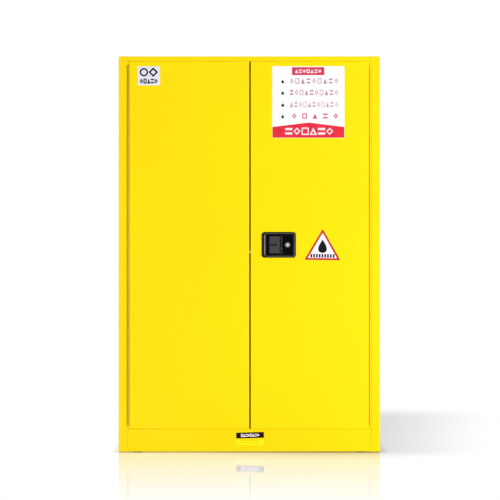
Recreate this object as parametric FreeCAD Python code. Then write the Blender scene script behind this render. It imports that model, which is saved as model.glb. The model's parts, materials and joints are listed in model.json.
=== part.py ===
"""Two-door flammable storage cabinet: a double-walled steel case with a 38 mm air space,
inset double-walled doors on continuous hinges, a recessed paddle handle that works a
three-point latch, two adjustable shelves, a leak-proof sump, two vents with flame
arresters, an earthing stud and four levelling feet.

Units are millimetres. X runs across the front, to the right as seen from the front.
The front faces -Y and +Z is up. The origin is on the floor, at the middle of the
bounding box.
"""

import FreeCAD, Part
import math
import os

Vec = FreeCAD.Vector

# ---------------------------------------------------------------- driving dimensions
WIDTH = 1090.0
DEPTH = 460.0
HEIGHT = 1650.0
SHEET = 1.2  # steel sheet
AIR_SPACE = 38.0
BEND = 2.4  # outside radius of a folded edge
WALL = AIR_SPACE + 2 * SHEET

HINGE_INSET = 40.4  # side of the case to the hinge axis
BARREL_R = 3.0
AXIS_PROUD = 1.5  # hinge axis in front of the door faces
HINGE_GAP = 6.4  # door edge to stile, around the barrel
KNUCKLE = 25.0
KNUCKLES = 60
HINGE_PIN_R = 1.6
HINGE_BORE_R = 1.68
KNUCKLE_PLAY = 0.5
LEAF = 1.2
LEAF_DEPTH = 28.0

DOOR_TOP = 1628.6
DOOR_BOTTOM = 97.0
DOOR_GAP = 1.2  # above and below the doors
MEETING_X = 2.5  # middle of the gap between the doors
MEETING_GAP = 6.0
LIP = 20.0  # return lips at the back of a door skin

SKIRT_Z = 3.0  # lower edge of the case
BASE_Z = 20.0
SUMP_DEPTH = 50.0
SUMP_FLOOR = 60.0
UPPER_SHELF_Z = 1090.0
LOWER_SHELF_Z = 610.0

# ---------------------------------------------------------------- derived places
FRONT = -(DEPTH - AXIS_PROUD - BARREL_R) / 2  # front faces of the case and doors
BACK = FRONT + DEPTH
SIDE_X = WIDTH / 2
HINGE_X = SIDE_X - HINGE_INSET
HINGE_Y = FRONT - AXIS_PROUD
HINGE_Z0 = 110.5
STILE_X = HINGE_X + HINGE_GAP / 2  # door-side face of a stile
DOOR_X = HINGE_X - HINGE_GAP / 2  # hinge-side edge of a door
LINER_X = SIDE_X - WALL
LINER_Y = BACK - WALL
DOOR_BACK = FRONT + WALL  # back of a door skin
STOP_Y = DOOR_BACK + SHEET  # face that the doors close against
HEADER_Z = DOOR_TOP + DOOR_GAP
SILL_Z = DOOR_BOTTOM - DOOR_GAP
CEILING_Z = HEIGHT - WALL
LIP_Z = SUMP_FLOOR + SUMP_DEPTH
STOP_RETURN = 14.0  # side panel's flange behind the stop
LEFT_DOOR_EDGE = MEETING_X - MEETING_GAP / 2
RIGHT_DOOR_EDGE = MEETING_X + MEETING_GAP / 2
INNER_BEND = BEND - SHEET
CLEAR = 0.3  # between parts that must not touch

# handle and latch
HANDLE_X, HANDLE_Z = 122.8, 864.0
HANDLE_BAND = 70.0  # half height of the door skin's middle solid
BEZEL_W, BEZEL_H, BEZEL_R = 142.0, 107.0, 12.0
BEZEL_PROUD, BEZEL_RIM = 3.0, 6.0
POCKET_X, POCKET_W, POCKET_H, POCKET_R = 125.2, 110.0, 82.0, 6.0
POCKET_DEPTH = 24.0
DISH_WALL = 2.5
COLLAR_DEPTH, BEVEL_DEPTH = 5.0, 2.0
PADDLE_AXIS_X = 133.0
PADDLE_AXIS_Y = FRONT + 10.0
PADDLE_W, PADDLE_H = 57.0, 71.0
HINGE_SLOT_H = 58.0  # open slot between the paddle's two hinge lugs
PADDLE_PIN_R = 2.5
PADDLE_SWING = 35.0
COVER_X, COVER_Z, COVER_W, COVER_H = 118.0, 857.0, 170.0, 150.0
SCREW_R = 1.5
LOCK_X, LOCK_Z, LOCK_R, PLUG_R = 159.3, 864.0, 8.4, 6.0
ROTOR_X, ROTOR_Z = PADDLE_AXIS_X - 4.8, 857.0
ROTOR_Y, ROTOR_T = FRONT + 30.0, 3.0
ROTOR_DRIVE_R = 20.0
ROTOR_ROD_R = 20.0
ROTOR_BOLT_R = 24.0
ROTOR_HALF_SWING = PADDLE_SWING / 2
CRANK_PIN_R = 3.0
ARM_END_R = 5.5
CRANK_PLAY = 0.25
CRANK_SIDE_SWING = 0.8
LINK_W = 12.0  # flat ends of the rods
BOLT_H = 14.0
RUNNING = 0.08  # radial clearance of a sliding or turning fit
SLIDE_Y, SLIDE_T = FRONT + 33.5, 3.0  # plane of the flat ends of rods and bolt
ROD_R = 5.0
ROD_Y = SLIDE_Y + SLIDE_T - ROD_R + 1.2
ROD_THROW = 12.0  # rod beyond the door's edge
BOLT_THROW = 14.0
ROD_OFFSET = ROTOR_ROD_R * (1 + math.cos(math.radians(ROTOR_HALF_SWING))) / 2
UPPER_ROD_X = ROTOR_X - ROD_OFFSET
LOWER_ROD_X = ROTOR_X + ROD_OFFSET

# vents, feet, earth
VENT_Y = 20.0
LEFT_VENT_Z = 205.0
RIGHT_VENT_Z = 1500.0
VENT_BORE_R, VENT_TUBE_R, VENT_FLANGE_R = 23.5, 26.0, 38.0
VENT_FLANGE_T = 3.0
CAP_R, CAP_HEAD = 31.0, 9.0
FOOT_X, FOOT_Y = 470.0, 165.0
FOOT_PAD_R, FOOT_STUD_R = 22.0, 6.0
FOOT_STUD_TOP = 55.0
EARTH_Y, EARTH_Z = 150.0, 140.0
EARTH_R, EARTH_ROOT_R = 4.0, 4.2  # free end, and under the nut
EARTH_NUT_END, EARTH_END = 5.2, 12.0  # beyond the side panel

# shelves
UPRIGHT_Y = 120.0
UPRIGHT_W, UPRIGHT_D, UPRIGHT_T = 26.0, 10.0, 1.5
UPRIGHT_Z0, UPRIGHT_Z1 = 125.0, 1585.0
SLOT_PITCH, SLOT_W, SLOT_H = 60.0, 4.0, 22.0
SHELF_X = 490.0
SHELF_Y0, SHELF_Y1 = -168.0, 182.0
SHELF_FLANGE = 32.0

# labels: middle X, middle Z, width, height
LABEL_T, LABEL_R = 0.3, 1.0
APPROVAL = (-419.5, 1568.5, 93.0, 79.0)
NOTICE = (246.0, 1459.0, 301.0, 299.0)
CAUTION, CAUTION_TILT = (3.0, 70.5, 116.0, 24.0), 1.8
HAZARD_X, HAZARD_Z, HAZARD_SIDE, HAZARD_R = 304.3, 800.4, 151.0, 2.5  # middle of the lower edge
HAZARD_TILT = 0.8


# ---------------------------------------------------------------- shape helpers
def block(x0, x1, y0, y1, z0, z1):
    return Part.makeBox(x1 - x0, y1 - y0, z1 - z0, Vec(x0, y0, z0))


def rod(x, y, z, radius, length, axis):
    return Part.makeCylinder(radius, length, Vec(x, y, z), axis)


X, Y, Z = Vec(1, 0, 0), Vec(0, 1, 0), Vec(0, 0, 1)
PLANES = {
    "xy": (lambda u, v, w: Vec(u, v, w), Z),
    "yz": (lambda u, v, w: Vec(w, u, v), X),
    "xz": (lambda u, v, w: Vec(u, w, v), Y),
}


def fuse(shapes):
    whole = shapes[0].multiFuse(shapes[1:]) if len(shapes) > 1 else shapes[0]
    return whole.removeSplitter()


def mirrored(shape):
    """The same shape on the other side of the case."""
    return shape.mirror(Vec(0, 0, 0), X)


def rounded_outline(corners, place):
    """A closed wire through corners [(u, v, radius)], with a tangent arc at each radius."""
    edges, ends = [], []
    count = len(corners)
    for i, (u, v, radius) in enumerate(corners):
        here = Vec(u, v, 0)
        before = (Vec(*corners[i - 1][:2], 0) - here).normalize()
        after = (Vec(*corners[(i + 1) % count][:2], 0) - here).normalize()
        if radius < 1e-6:
            ends.append((here, here, None))
            continue
        half = before.getAngle(after) / 2
        reach = radius / math.tan(half)
        bisector = (before + after).normalize()
        middle = here + bisector * (radius / math.sin(half) - radius)
        ends.append((here + before * reach, here + after * reach, middle))
    for i, (start, end, middle) in enumerate(ends):
        previous = ends[i - 1][1]
        if (start - previous).Length > 1e-6:
            edges.append(Part.LineSegment(place(previous), place(start)).toShape())
        if middle is not None:
            edges.append(Part.Arc(place(start), place(middle), place(end)).toShape())
    return Part.Wire(edges)


def prism(corners, plane, w0, w1):
    """The outline of corners [(u, v, radius)] in a plane, drawn out from w0 to w1."""
    point, direction = PLANES[plane]
    wire = rounded_outline(corners, lambda p: point(p.x, p.y, w0))
    return Part.Face(wire).extrude(direction * (w1 - w0))


def folded_sheet(points, plane, w0, w1, thickness=SHEET, bend=BEND):
    """Sheet metal folded along points; the metal lies on the left of the path."""
    face = [Vec(u, v, 0) for u, v in points]
    runs = [(b - a).normalize() for a, b in zip(face, face[1:])]
    left = [Vec(-d.y, d.x, 0) for d in runs]
    near, far = [], []
    for i, p in enumerate(face):
        if i == 0 or i == len(face) - 1:
            side = left[0] if i == 0 else left[-1]
            near.append((p.x, p.y, 0))
            far.append((p.x + side.x * thickness, p.y + side.y * thickness, 0))
            continue
        both = left[i - 1] + left[i]
        inner = p + both * (thickness / (1 + left[i - 1].dot(left[i])))
        turns_left = runs[i - 1].cross(runs[i]).z > 0
        tight, wide = bend - thickness, bend
        near.append((p.x, p.y, wide if turns_left else tight))
        far.append((inner.x, inner.y, tight if turns_left else wide))
    return prism(near + far[::-1], plane, w0, w1)


def rounded_rect(cx, cy, width, height, radius):
    w, h = width / 2, height / 2
    signs = ((-1, -1), (1, -1), (1, 1), (-1, 1))
    return [(cx + sx * w, cy + sy * h, radius) for sx, sy in signs]


def round_edges(shape, radius, chosen):
    """Fillets the edges that chosen(edge's bounding box) picks."""
    return shape.makeFillet(radius, [e for e in shape.Edges if chosen(e.BoundBox)])


def channel(x0, x1, y0, y1, z0, z1, along, open_side):
    """A C-channel filling the box; along is its length's axis, open_side its open face."""
    low, high = [x0, y0, z0], [x1, y1, z1]
    inner_low = [a + (0 if i == along else SHEET) for i, a in enumerate(low)]
    inner_high = [a - (0 if i == along else SHEET) for i, a in enumerate(high)]
    axis, end = open_side
    if end > 0:
        inner_high[axis] = high[axis]
    else:
        inner_low[axis] = low[axis]
    hollow = block(inner_low[0], inner_high[0], inner_low[1], inner_high[1],
                   inner_low[2], inner_high[2])
    return block(x0, x1, y0, y1, z0, z1).cut(hollow)


def hexagon(cx, cy, across_flats, plane, w0, w1):
    radius = across_flats / math.sqrt(3)
    turns = [math.radians(60 * i) for i in range(6)]
    corners = [(cx + radius * math.cos(a), cy + radius * math.sin(a), 0) for a in turns]
    return prism(corners, plane, w0, w1)


def corners_of(x, y):
    return [(sx * x, sy * y) for sx in (-1, 1) for sy in (-1, 1)]


# ---------------------------------------------------------------- outer case
def side_panel(vent_z):
    """Left side: panel, stile, hinge return and door stop folded from one sheet."""
    path = [
        (-SIDE_X + 22, BACK),
        (-SIDE_X, BACK),
        (-SIDE_X, FRONT),
        (-STILE_X, FRONT),
        (-STILE_X, STOP_Y),
        (-LINER_X, STOP_Y),
        (-LINER_X, STOP_Y + STOP_RETURN),
    ]
    panel = folded_sheet(path, "xy", SKIRT_Z, HEIGHT - SHEET)
    hole = rod(-SIDE_X - 1, VENT_Y, vent_z, VENT_TUBE_R, 2 * SHEET, X)
    return panel.cut(hole)


def right_side_panel():
    panel = mirrored(side_panel(RIGHT_VENT_Z))
    return panel.cut(rod(SIDE_X - 2 * SHEET, EARTH_Y, EARTH_Z, EARTH_ROOT_R, 4 * SHEET, X))


def back_panel():
    x = SIDE_X - BEND - CLEAR
    return block(-x, x, BACK - 2 * SHEET, BACK - SHEET, SKIRT_Z, HEIGHT - SHEET)


def top_panel():
    """Flat top with a front flange that shows as the header strip between the stiles."""
    path = [(BACK, HEIGHT), (FRONT, HEIGHT), (FRONT, HEADER_Z)]
    middle = folded_sheet(path, "yz", -STILE_X, STILE_X)
    ends = block(-SIDE_X, SIDE_X, FRONT, BACK, HEIGHT - SHEET, HEIGHT)
    ends = round_edges(ends, BEND, lambda b: b.ZLength > 1 and b.XLength < 0.1 > b.YLength)
    ends = ends.cut(block(-STILE_X, STILE_X, FRONT - 1, BACK + 1, HEIGHT - 5, HEIGHT + 1))
    return fuse([middle, ends])


def stop_notches(z0, z1):
    """Clearance for the side panels' stops at the two ends of the header and the sill."""
    right = block(LINER_X, STILE_X + 1, STOP_Y, STOP_Y + 60, z0, z1)
    return [mirrored(right), right]


def rod_hole(x, z):
    return rod(x, ROD_Y, z, ROD_R + 1.5, 8 * SHEET, Z)


def header():
    inside = FRONT + SHEET
    path = [
        (inside, HEADER_Z + 16),
        (inside, HEADER_Z),
        (STOP_Y, HEADER_Z),
        (STOP_Y, CEILING_Z),
        (STOP_Y + 20, CEILING_Z),
    ]
    shape = folded_sheet(path, "yz", -STILE_X, STILE_X)
    cuts = stop_notches(CEILING_Z - 5, HEIGHT) + [rod_hole(UPPER_ROD_X, HEADER_Z - 4)]
    return shape.cut(cuts)


def sill():
    """Front of the base, the ledge below the doors and the raised lip of the sump."""
    path = [
        (STOP_Y + 12, LIP_Z),
        (STOP_Y, LIP_Z),
        (STOP_Y, SILL_Z),
        (FRONT, SILL_Z),
        (FRONT, SKIRT_Z),
        (FRONT + 20, SKIRT_Z),
    ]
    shape = folded_sheet(path, "yz", -STILE_X, STILE_X)
    cuts = stop_notches(SKIRT_Z, LIP_Z + 5) + [rod_hole(LOWER_ROD_X, SILL_Z - 5)]
    return shape.cut(cuts)


def base_pan():
    x, y0, y1 = SIDE_X - SHEET - CLEAR, FRONT + SHEET, BACK - 2 * SHEET
    behind_stile = STOP_Y + STOP_RETURN + 1
    plate = block(-x, x, y0, y1, BASE_Z, BASE_Z + SHEET)
    notches = [
        block(-x - 1, -LINER_X + 1, y0 - 1, behind_stile, BASE_Z - 1, BASE_Z + 5),
        block(LINER_X - 1, x + 1, y0 - 1, behind_stile, BASE_Z - 1, BASE_Z + 5),
    ]
    flange_z = SKIRT_Z + 3
    flanges = [
        block(-x, -x + SHEET, behind_stile, y1, flange_z, BASE_Z + SHEET),
        block(x - SHEET, x, behind_stile, y1, flange_z, BASE_Z + SHEET),
        block(-x, x, y1 - SHEET, y1, flange_z, BASE_Z + SHEET),
    ]
    pan = fuse([plate.cut(notches)] + flanges)
    holes = [rod(fx, fy, BASE_Z - 1, FOOT_STUD_R + 1, 5, Z) for fx, fy in corners_of(FOOT_X, FOOT_Y)]
    return pan.cut(holes)


# ---------------------------------------------------------------- liner and sump
def liner_sides():
    y0 = STOP_Y + STOP_RETURN
    left = block(-LINER_X - SHEET, -LINER_X, y0, LINER_Y, SUMP_FLOOR - SHEET, CEILING_Z)
    panels = []
    for panel, sx, vent_z in ((left, -1, LEFT_VENT_Z), (mirrored(left), 1, RIGHT_VENT_Z)):
        hole = rod(sx * LINER_X - 2 * SHEET, VENT_Y, vent_z, VENT_TUBE_R, 4 * SHEET, X)
        panels.append(panel.cut(hole))
    return Part.makeCompound(panels)


def liner_back():
    x = LINER_X + SHEET
    return block(-x, x, LINER_Y, LINER_Y + SHEET, SUMP_FLOOR - SHEET, CEILING_Z)


def liner_ceiling():
    x = LINER_X + SHEET
    return block(-x, x, STOP_Y + 20, LINER_Y + SHEET, CEILING_Z, CEILING_Z + SHEET)


def sump_tray():
    """Welded leak-proof pan; its front wall stands behind the sill's lip."""
    y0, top = STOP_Y + SHEET, LIP_Z - BEND - CLEAR
    tray = block(-LINER_X, LINER_X, y0, LINER_Y, SUMP_FLOOR - SHEET, top)
    hollow = block(-LINER_X + SHEET, LINER_X - SHEET, y0 + SHEET, LINER_Y - SHEET,
                   SUMP_FLOOR, top + 1)
    return tray.cut(hollow)


def wall_spacers():
    """C-channels that hold the outer and inner walls apart."""
    spacers = []
    for z in (500, 1000):
        left = channel(-SIDE_X + SHEET, -LINER_X - SHEET, -120, 170, z, z + 30, 1, (2, 1))
        spacers += [left, mirrored(left)]
    back_gap = (LINER_Y + SHEET, BACK - 2 * SHEET)
    for z in (620, 1120):
        spacers.append(channel(-400, 400, *back_gap, z, z + 30, 0, (2, 1)))
    for x in (-250, 250):
        spacers.append(channel(x, x + 30, -150, 150, CEILING_Z + SHEET, HEIGHT - SHEET, 1, (0, 1)))
        spacers.append(channel(x, x + 30, -150, 150, BASE_Z + SHEET, SUMP_FLOOR - SHEET, 1, (0, 1)))
    return Part.makeCompound(spacers)


# ---------------------------------------------------------------- shelves
def shelf_uprights():
    """Four slotted strips on the liner's side walls."""
    slots = int((UPRIGHT_Z1 - UPRIGHT_Z0) / SLOT_PITCH)
    uprights = []
    for y in (-UPRIGHT_Y, UPRIGHT_Y):
        x0, x1 = -LINER_X, -LINER_X + UPRIGHT_D
        half = UPRIGHT_W / 2
        strip = block(x0, x1, y - half, y + half, UPRIGHT_Z0, UPRIGHT_Z1)
        hollow = block(x0 - 1, x1 - UPRIGHT_T, y - half + UPRIGHT_T, y + half - UPRIGHT_T,
                       UPRIGHT_Z0 - 1, UPRIGHT_Z1 + 1)
        holes = []
        for i in range(slots):
            z = UPRIGHT_Z0 + 25 + i * SLOT_PITCH
            holes.append(block(x1 - 3, x1 + 1, y - SLOT_W / 2, y + SLOT_W / 2, z, z + SLOT_H))
        strip = strip.cut([hollow] + holes)
        uprights += [strip, mirrored(strip)]
    return Part.makeCompound(uprights)


def shelf_hangers():
    """Brackets hooked into the uprights, four under each shelf."""
    face = -LINER_X + UPRIGHT_D
    hangers = []
    for shelf_z in (LOWER_SHELF_Z, UPPER_SHELF_Z):
        seat = shelf_z - SHELF_FLANGE
        for y in (-UPRIGHT_Y, UPRIGHT_Y):
            plate = block(face, face + 2, y - 11, y + 11, seat - 42, seat + 22)
            tongue = block(face, face + 34, y - 11, y + 11, seat - 2, seat)
            web = block(face, face + 30, y - 11, y - 9, seat - 30, seat)
            tip = prism([(face + 2, seat - 30, 0), (face + 31, seat - 30, 0),
                         (face + 31, seat - 3, 0)], "xz", y - 12, y - 8)
            first_slot = UPRIGHT_Z0 + 25
            lowest = first_slot + SLOT_PITCH * math.ceil((seat - 40 - first_slot) / SLOT_PITCH)
            hook_z = lowest + 3
            hook = block(face - 4, face, y - 1.5, y + 1.5, hook_z, hook_z + 16)
            hanger = fuse([plate, tongue, web.cut(tip), hook])
            hangers += [hanger, mirrored(hanger)]
    return Part.makeCompound(hangers)


def shelf(top_z):
    """Galvanised shelf with folded-down edges."""
    body = block(-SHELF_X, SHELF_X, SHELF_Y0, SHELF_Y1, top_z - SHELF_FLANGE, top_z)
    body = round_edges(body, BEND, lambda b: b.ZLength > 30 or b.ZMin > top_z - 1)
    hollow = block(-SHELF_X + SHEET, SHELF_X - SHEET, SHELF_Y0 + SHEET, SHELF_Y1 - SHEET,
                   top_z - SHELF_FLANGE - 1, top_z - SHEET)
    hollow = round_edges(hollow, INNER_BEND, lambda b: b.ZLength > 30 or b.ZMin > top_z - 2)
    return body.cut(hollow)


# ---------------------------------------------------------------- vents, feet, earth
def vent_fitting(vent_z):
    """Left pipe coupling through both walls, with an outside flange."""
    outer = -SIDE_X - VENT_FLANGE_T
    length = SIDE_X + VENT_FLANGE_T - LINER_X + 4
    flange = rod(outer, VENT_Y, vent_z, VENT_FLANGE_R, VENT_FLANGE_T, X)
    flange = round_edges(flange, 1.0, lambda b: b.XMax < outer + 0.1)
    tube = rod(outer, VENT_Y, vent_z, VENT_TUBE_R, length, X)
    return fuse([flange, tube]).cut(rod(outer - 1, VENT_Y, vent_z, VENT_BORE_R, length + 2, X))


def vent_cap(vent_z):
    """Left screw-in bung with a square drive recess and eight grip flutes."""
    outer = -SIDE_X - VENT_FLANGE_T
    head = rod(outer - CAP_HEAD, VENT_Y, vent_z, CAP_R, CAP_HEAD, X)
    head = round_edges(head, 2.0, lambda b: b.XMax < outer - CAP_HEAD + 0.1)
    spigot = rod(outer, VENT_Y, vent_z, VENT_BORE_R - RUNNING, 20, X)
    cap = fuse([head, spigot])
    cuts = [rod(outer - 3, VENT_Y, vent_z, VENT_BORE_R - 3, 30, X)]
    cuts.append(block(outer - CAP_HEAD - 1, outer - CAP_HEAD + 5, VENT_Y - 9, VENT_Y + 9,
                      vent_z - 9, vent_z + 9))
    for i in range(8):
        turn = math.radians(45 * i)
        y = VENT_Y + (CAP_R + 2) * math.cos(turn)
        z = vent_z + (CAP_R + 2) * math.sin(turn)
        cuts.append(rod(outer - CAP_HEAD - 1, y, z, 4, CAP_HEAD + 2, X))
    return cap.cut(cuts)


def flame_arresters():
    """A framed screen in the inner end of each vent."""
    screens = []
    for vent_z in (LEFT_VENT_Z, RIGHT_VENT_Z):
        x = -LINER_X - 4
        disc = rod(x, VENT_Y, vent_z, VENT_BORE_R, 6, X)
        faces = [rod(x - 1, VENT_Y, vent_z, VENT_BORE_R - 2.5, 3.5, X),
                 rod(x + 3.5, VENT_Y, vent_z, VENT_BORE_R - 2.5, 5, X)]
        holes = [
            rod(x - 1, VENT_Y + 6 * i, vent_z + 6 * j, 1.8, 8, X)
            for i in range(-3, 4)
            for j in range(-3, 4)
            if math.hypot(6 * i, 6 * j) < VENT_BORE_R - 5
        ]
        screen = disc.cut(faces + holes)
        screens.append(screen if vent_z == LEFT_VENT_Z else mirrored(screen))
    return Part.makeCompound(screens)


def earth_stud():
    """Weld stud on the right side, with its head inside the wall."""
    head = rod(SIDE_X - SHEET - 2.5, EARTH_Y, EARTH_Z, 8, 2.5, X)
    root = rod(SIDE_X - SHEET, EARTH_Y, EARTH_Z, EARTH_ROOT_R, SHEET + EARTH_NUT_END, X)
    free_end = rod(SIDE_X, EARTH_Y, EARTH_Z, EARTH_R, EARTH_END, X)
    return fuse([head, root, free_end])


def earth_nut():
    washer = rod(SIDE_X, EARTH_Y, EARTH_Z, 8.5, 1.2, X)
    nut = hexagon(EARTH_Y, EARTH_Z, 13, "yz", SIDE_X + 1.2, SIDE_X + EARTH_NUT_END)
    bore = rod(SIDE_X - 1, EARTH_Y, EARTH_Z, EARTH_ROOT_R + RUNNING, 8, X)
    return fuse([washer, nut]).cut(bore)


def foot_inserts():
    """Threaded plates welded on the base over the feet."""
    inserts = []
    for fx, fy in corners_of(FOOT_X, FOOT_Y):
        plate = block(fx - 20, fx + 20, fy - 20, fy + 20, BASE_Z + SHEET, BASE_Z + SHEET + 8)
        inserts.append(plate.cut(rod(fx, fy, BASE_Z, FOOT_STUD_R + RUNNING, 12, Z)))
    return Part.makeCompound(inserts)


def levelling_foot(fx, fy):
    pad = rod(fx, fy, 0, FOOT_PAD_R, 9, Z)
    pad = round_edges(pad, 2.5, lambda b: b.ZMin > 8)
    collar = hexagon(fx, fy, 22, "xy", 9, BASE_Z - CLEAR)
    stud = rod(fx, fy, 9, FOOT_STUD_R, FOOT_STUD_TOP - 9, Z)
    return fuse([pad, collar, stud])


# ---------------------------------------------------------------- hinges
def hinge_leaf(on_door):
    """Left continuous hinge leaf; the frame's leaf has the even knuckles, the door's the odd."""
    length = KNUCKLE * KNUCKLES
    if on_door:
        x0, x1 = -HINGE_X + HINGE_GAP / 2 - LEAF, -HINGE_X + HINGE_GAP / 2
    else:
        x0, x1 = -HINGE_X - HINGE_GAP / 2, -HINGE_X - HINGE_GAP / 2 + LEAF
    plate = block(x0, x1, HINGE_Y, HINGE_Y + LEAF_DEPTH, HINGE_Z0, HINGE_Z0 + length)
    barrel = rod(-HINGE_X, HINGE_Y, HINGE_Z0, BARREL_R, length, Z)
    bore = rod(-HINGE_X, HINGE_Y, HINGE_Z0 - 1, HINGE_BORE_R, length + 2, Z)
    leaf = fuse([plate, barrel]).cut(bore)
    gaps = []
    reach = BARREL_R + CLEAR
    for i in range(KNUCKLES):
        if (i % 2 == 1) != on_door:
            z = HINGE_Z0 + i * KNUCKLE - KNUCKLE_PLAY / 2
            gaps.append(block(-HINGE_X - 4, -HINGE_X + 4, HINGE_Y - 4, HINGE_Y + reach,
                              z, z + KNUCKLE + KNUCKLE_PLAY))
    return leaf.cut(gaps)


def hinge_pins():
    length = KNUCKLE * KNUCKLES
    pin = rod(-HINGE_X, HINGE_Y, HINGE_Z0, HINGE_PIN_R, length, Z)
    return Part.makeCompound([pin, mirrored(pin)])


# ---------------------------------------------------------------- doors
def door_skin(x0, x1):
    """Outer pan of a door, with lips folded in at its back."""
    front, back, z0, z1 = FRONT, DOOR_BACK, DOOR_BOTTOM, DOOR_TOP
    outer = block(x0, x1, front, back, z0, z1)
    outer = round_edges(outer, BEND, lambda b: b.YLength > 30 or b.YMax < front + 0.1)
    inner = block(x0 + SHEET, x1 - SHEET, front + SHEET, back - SHEET, z0 + SHEET, z1 - SHEET)
    inner = round_edges(inner, INNER_BEND, lambda b: b.YLength > 30 or b.YMax < front + 2)
    window = block(x0 + LIP, x1 - LIP, back - 5, back + 1, z0 + LIP, z1 - LIP)
    return outer.cut([inner, window])


BOLT_Z = ROTOR_Z - ROTOR_BOLT_R * (1 + math.cos(math.radians(ROTOR_HALF_SWING))) / 2
BOLT_Y0, BOLT_Y1 = FRONT + 28.5, FRONT + 38.0


def bolt_slot(x0, x1):
    play = 0.6
    return block(x0, x1, BOLT_Y0 - play, BOLT_Y1 + play,
                 BOLT_Z - BOLT_H / 2 - play, BOLT_Z + BOLT_H / 2 + play)


def left_door_skin():
    skin = door_skin(-DOOR_X, LEFT_DOOR_EDGE)
    return skin.cut(bolt_slot(LEFT_DOOR_EDGE - 5, LEFT_DOOR_EDGE + 1))


def right_door_skin():
    """One sheet, made as three solids that meet edge to edge. The middle one is small, so
    that the shape round the handle's opening is followed closely in collision too."""
    skin = door_skin(RIGHT_DOOR_EDGE, DOOR_X)
    opening = rounded_rect(HANDLE_X, HANDLE_Z, BEZEL_W - 16, BEZEL_H - 16, BEZEL_R - 5)
    cuts = [
        bolt_slot(RIGHT_DOOR_EDGE - 1, RIGHT_DOOR_EDGE + 5),
        prism(opening, "xz", FRONT - 1, FRONT + 5),
        rod(UPPER_ROD_X, ROD_Y, DOOR_TOP - 3, ROD_R + 0.6, 5, Z),
        rod(LOWER_ROD_X, ROD_Y, DOOR_BOTTOM - 2, ROD_R + 0.6, 5, Z),
    ]
    skin = skin.cut(cuts + screw_holes(bezel_screws(), FRONT - 1, FRONT + 3))
    ends = (DOOR_BOTTOM - 1, HANDLE_Z - HANDLE_BAND, HANDLE_Z + HANDLE_BAND, DOOR_TOP + 1)
    return Part.makeCompound([
        skin.common(block(0, SIDE_X, FRONT - 1, DOOR_BACK + 1, z0, z1))
        for z0, z1 in zip(ends, ends[1:])
    ])


def door_liner(x0, x1):
    z0, z1 = DOOR_BOTTOM + 14, DOOR_TOP - 20
    outline = rounded_rect((x0 + x1) / 2, (z0 + z1) / 2, x1 - x0, z1 - z0, 8)
    return prism(outline, "xz", DOOR_BACK, DOOR_BACK + SHEET)


def left_door_liner():
    return door_liner(-DOOR_X + 6, LEFT_DOOR_EDGE - 34)


def right_door_liner():
    opening = rounded_rect(COVER_X, COVER_Z, COVER_W - 30, COVER_H - 30, 6)
    cuts = [prism(opening, "xz", DOOR_BACK - 1, DOOR_BACK + 5)]
    cuts += screw_holes(cover_screws(), DOOR_BACK - 1, DOOR_BACK + 5)
    return door_liner(RIGHT_DOOR_EDGE + 22, DOOR_X - 6).cut(cuts)


def door_stiffeners(places):
    return Part.makeCompound([
        channel(x, x + 34, FRONT + SHEET, DOOR_BACK, DOOR_BOTTOM + LIP + 2, DOOR_TOP - LIP - 2,
                2, (1, 1))
        for x in places
    ])


def astragal():
    """Strip on the left door that lies behind the right door and covers the gap."""
    z0, z1 = LIP_Z + 2, CEILING_Z - 2
    fixed = block(LEFT_DOOR_EDGE - 32, LEFT_DOOR_EDGE, DOOR_BACK, DOOR_BACK + 1.5, z0, z1)
    cover = block(LEFT_DOOR_EDGE - 2, RIGHT_DOOR_EDGE + 16, DOOR_BACK + 0.7, DOOR_BACK + 2.2, z0, z1)
    return fuse([fixed, cover])


def centre_keeper():
    """Slotted plate inside the left door's edge that the centre bolt enters."""
    x = LEFT_DOOR_EDGE - SHEET
    plate = block(x - 2.5, x, FRONT + 16, DOOR_BACK - SHEET - 0.2, BOLT_Z - 32, BOLT_Z + 32)
    return plate.cut(bolt_slot(x - 5, x + 1))


def door_bumpers():
    """Rubber buttons on the stops that the doors close against."""
    buttons = []
    for x in (-440, -60, 60, 440):
        for z in ((HEADER_Z + CEILING_Z) / 2 - 1, (SILL_Z + LIP_Z) / 2 + 1.5):
            buttons.append(rod(x, STOP_Y - 1, z, 5, 1, Y))
    return Part.makeCompound(buttons)


def strike_plates():
    upper = block(UPPER_ROD_X - 22, UPPER_ROD_X + 22, ROD_Y - 11, STOP_Y - 1, HEADER_Z - 1.2, HEADER_Z)
    lower = block(LOWER_ROD_X - 22, LOWER_ROD_X + 22, ROD_Y - 11, STOP_Y - 1, SILL_Z, SILL_Z + 1.2)
    return Part.makeCompound([
        upper.cut(rod_hole(UPPER_ROD_X, HEADER_Z - 4)),
        lower.cut(rod_hole(LOWER_ROD_X, SILL_Z - 5)),
    ])


# ---------------------------------------------------------------- handle
def lock_boss(inset, y0, y1):
    """Five-sided boss round the lock, blunt towards the paddle."""
    corners = [(-18.6, 0), (-9, -15), (12.5, -17), (12.5, 17), (-9, 15)]
    scale = 1 - inset / 15
    outline = [(LOCK_X + dx * scale, LOCK_Z + dz * scale, 3.0) for dx, dz in corners]
    return prism(outline, "xz", y0, y1)


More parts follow.
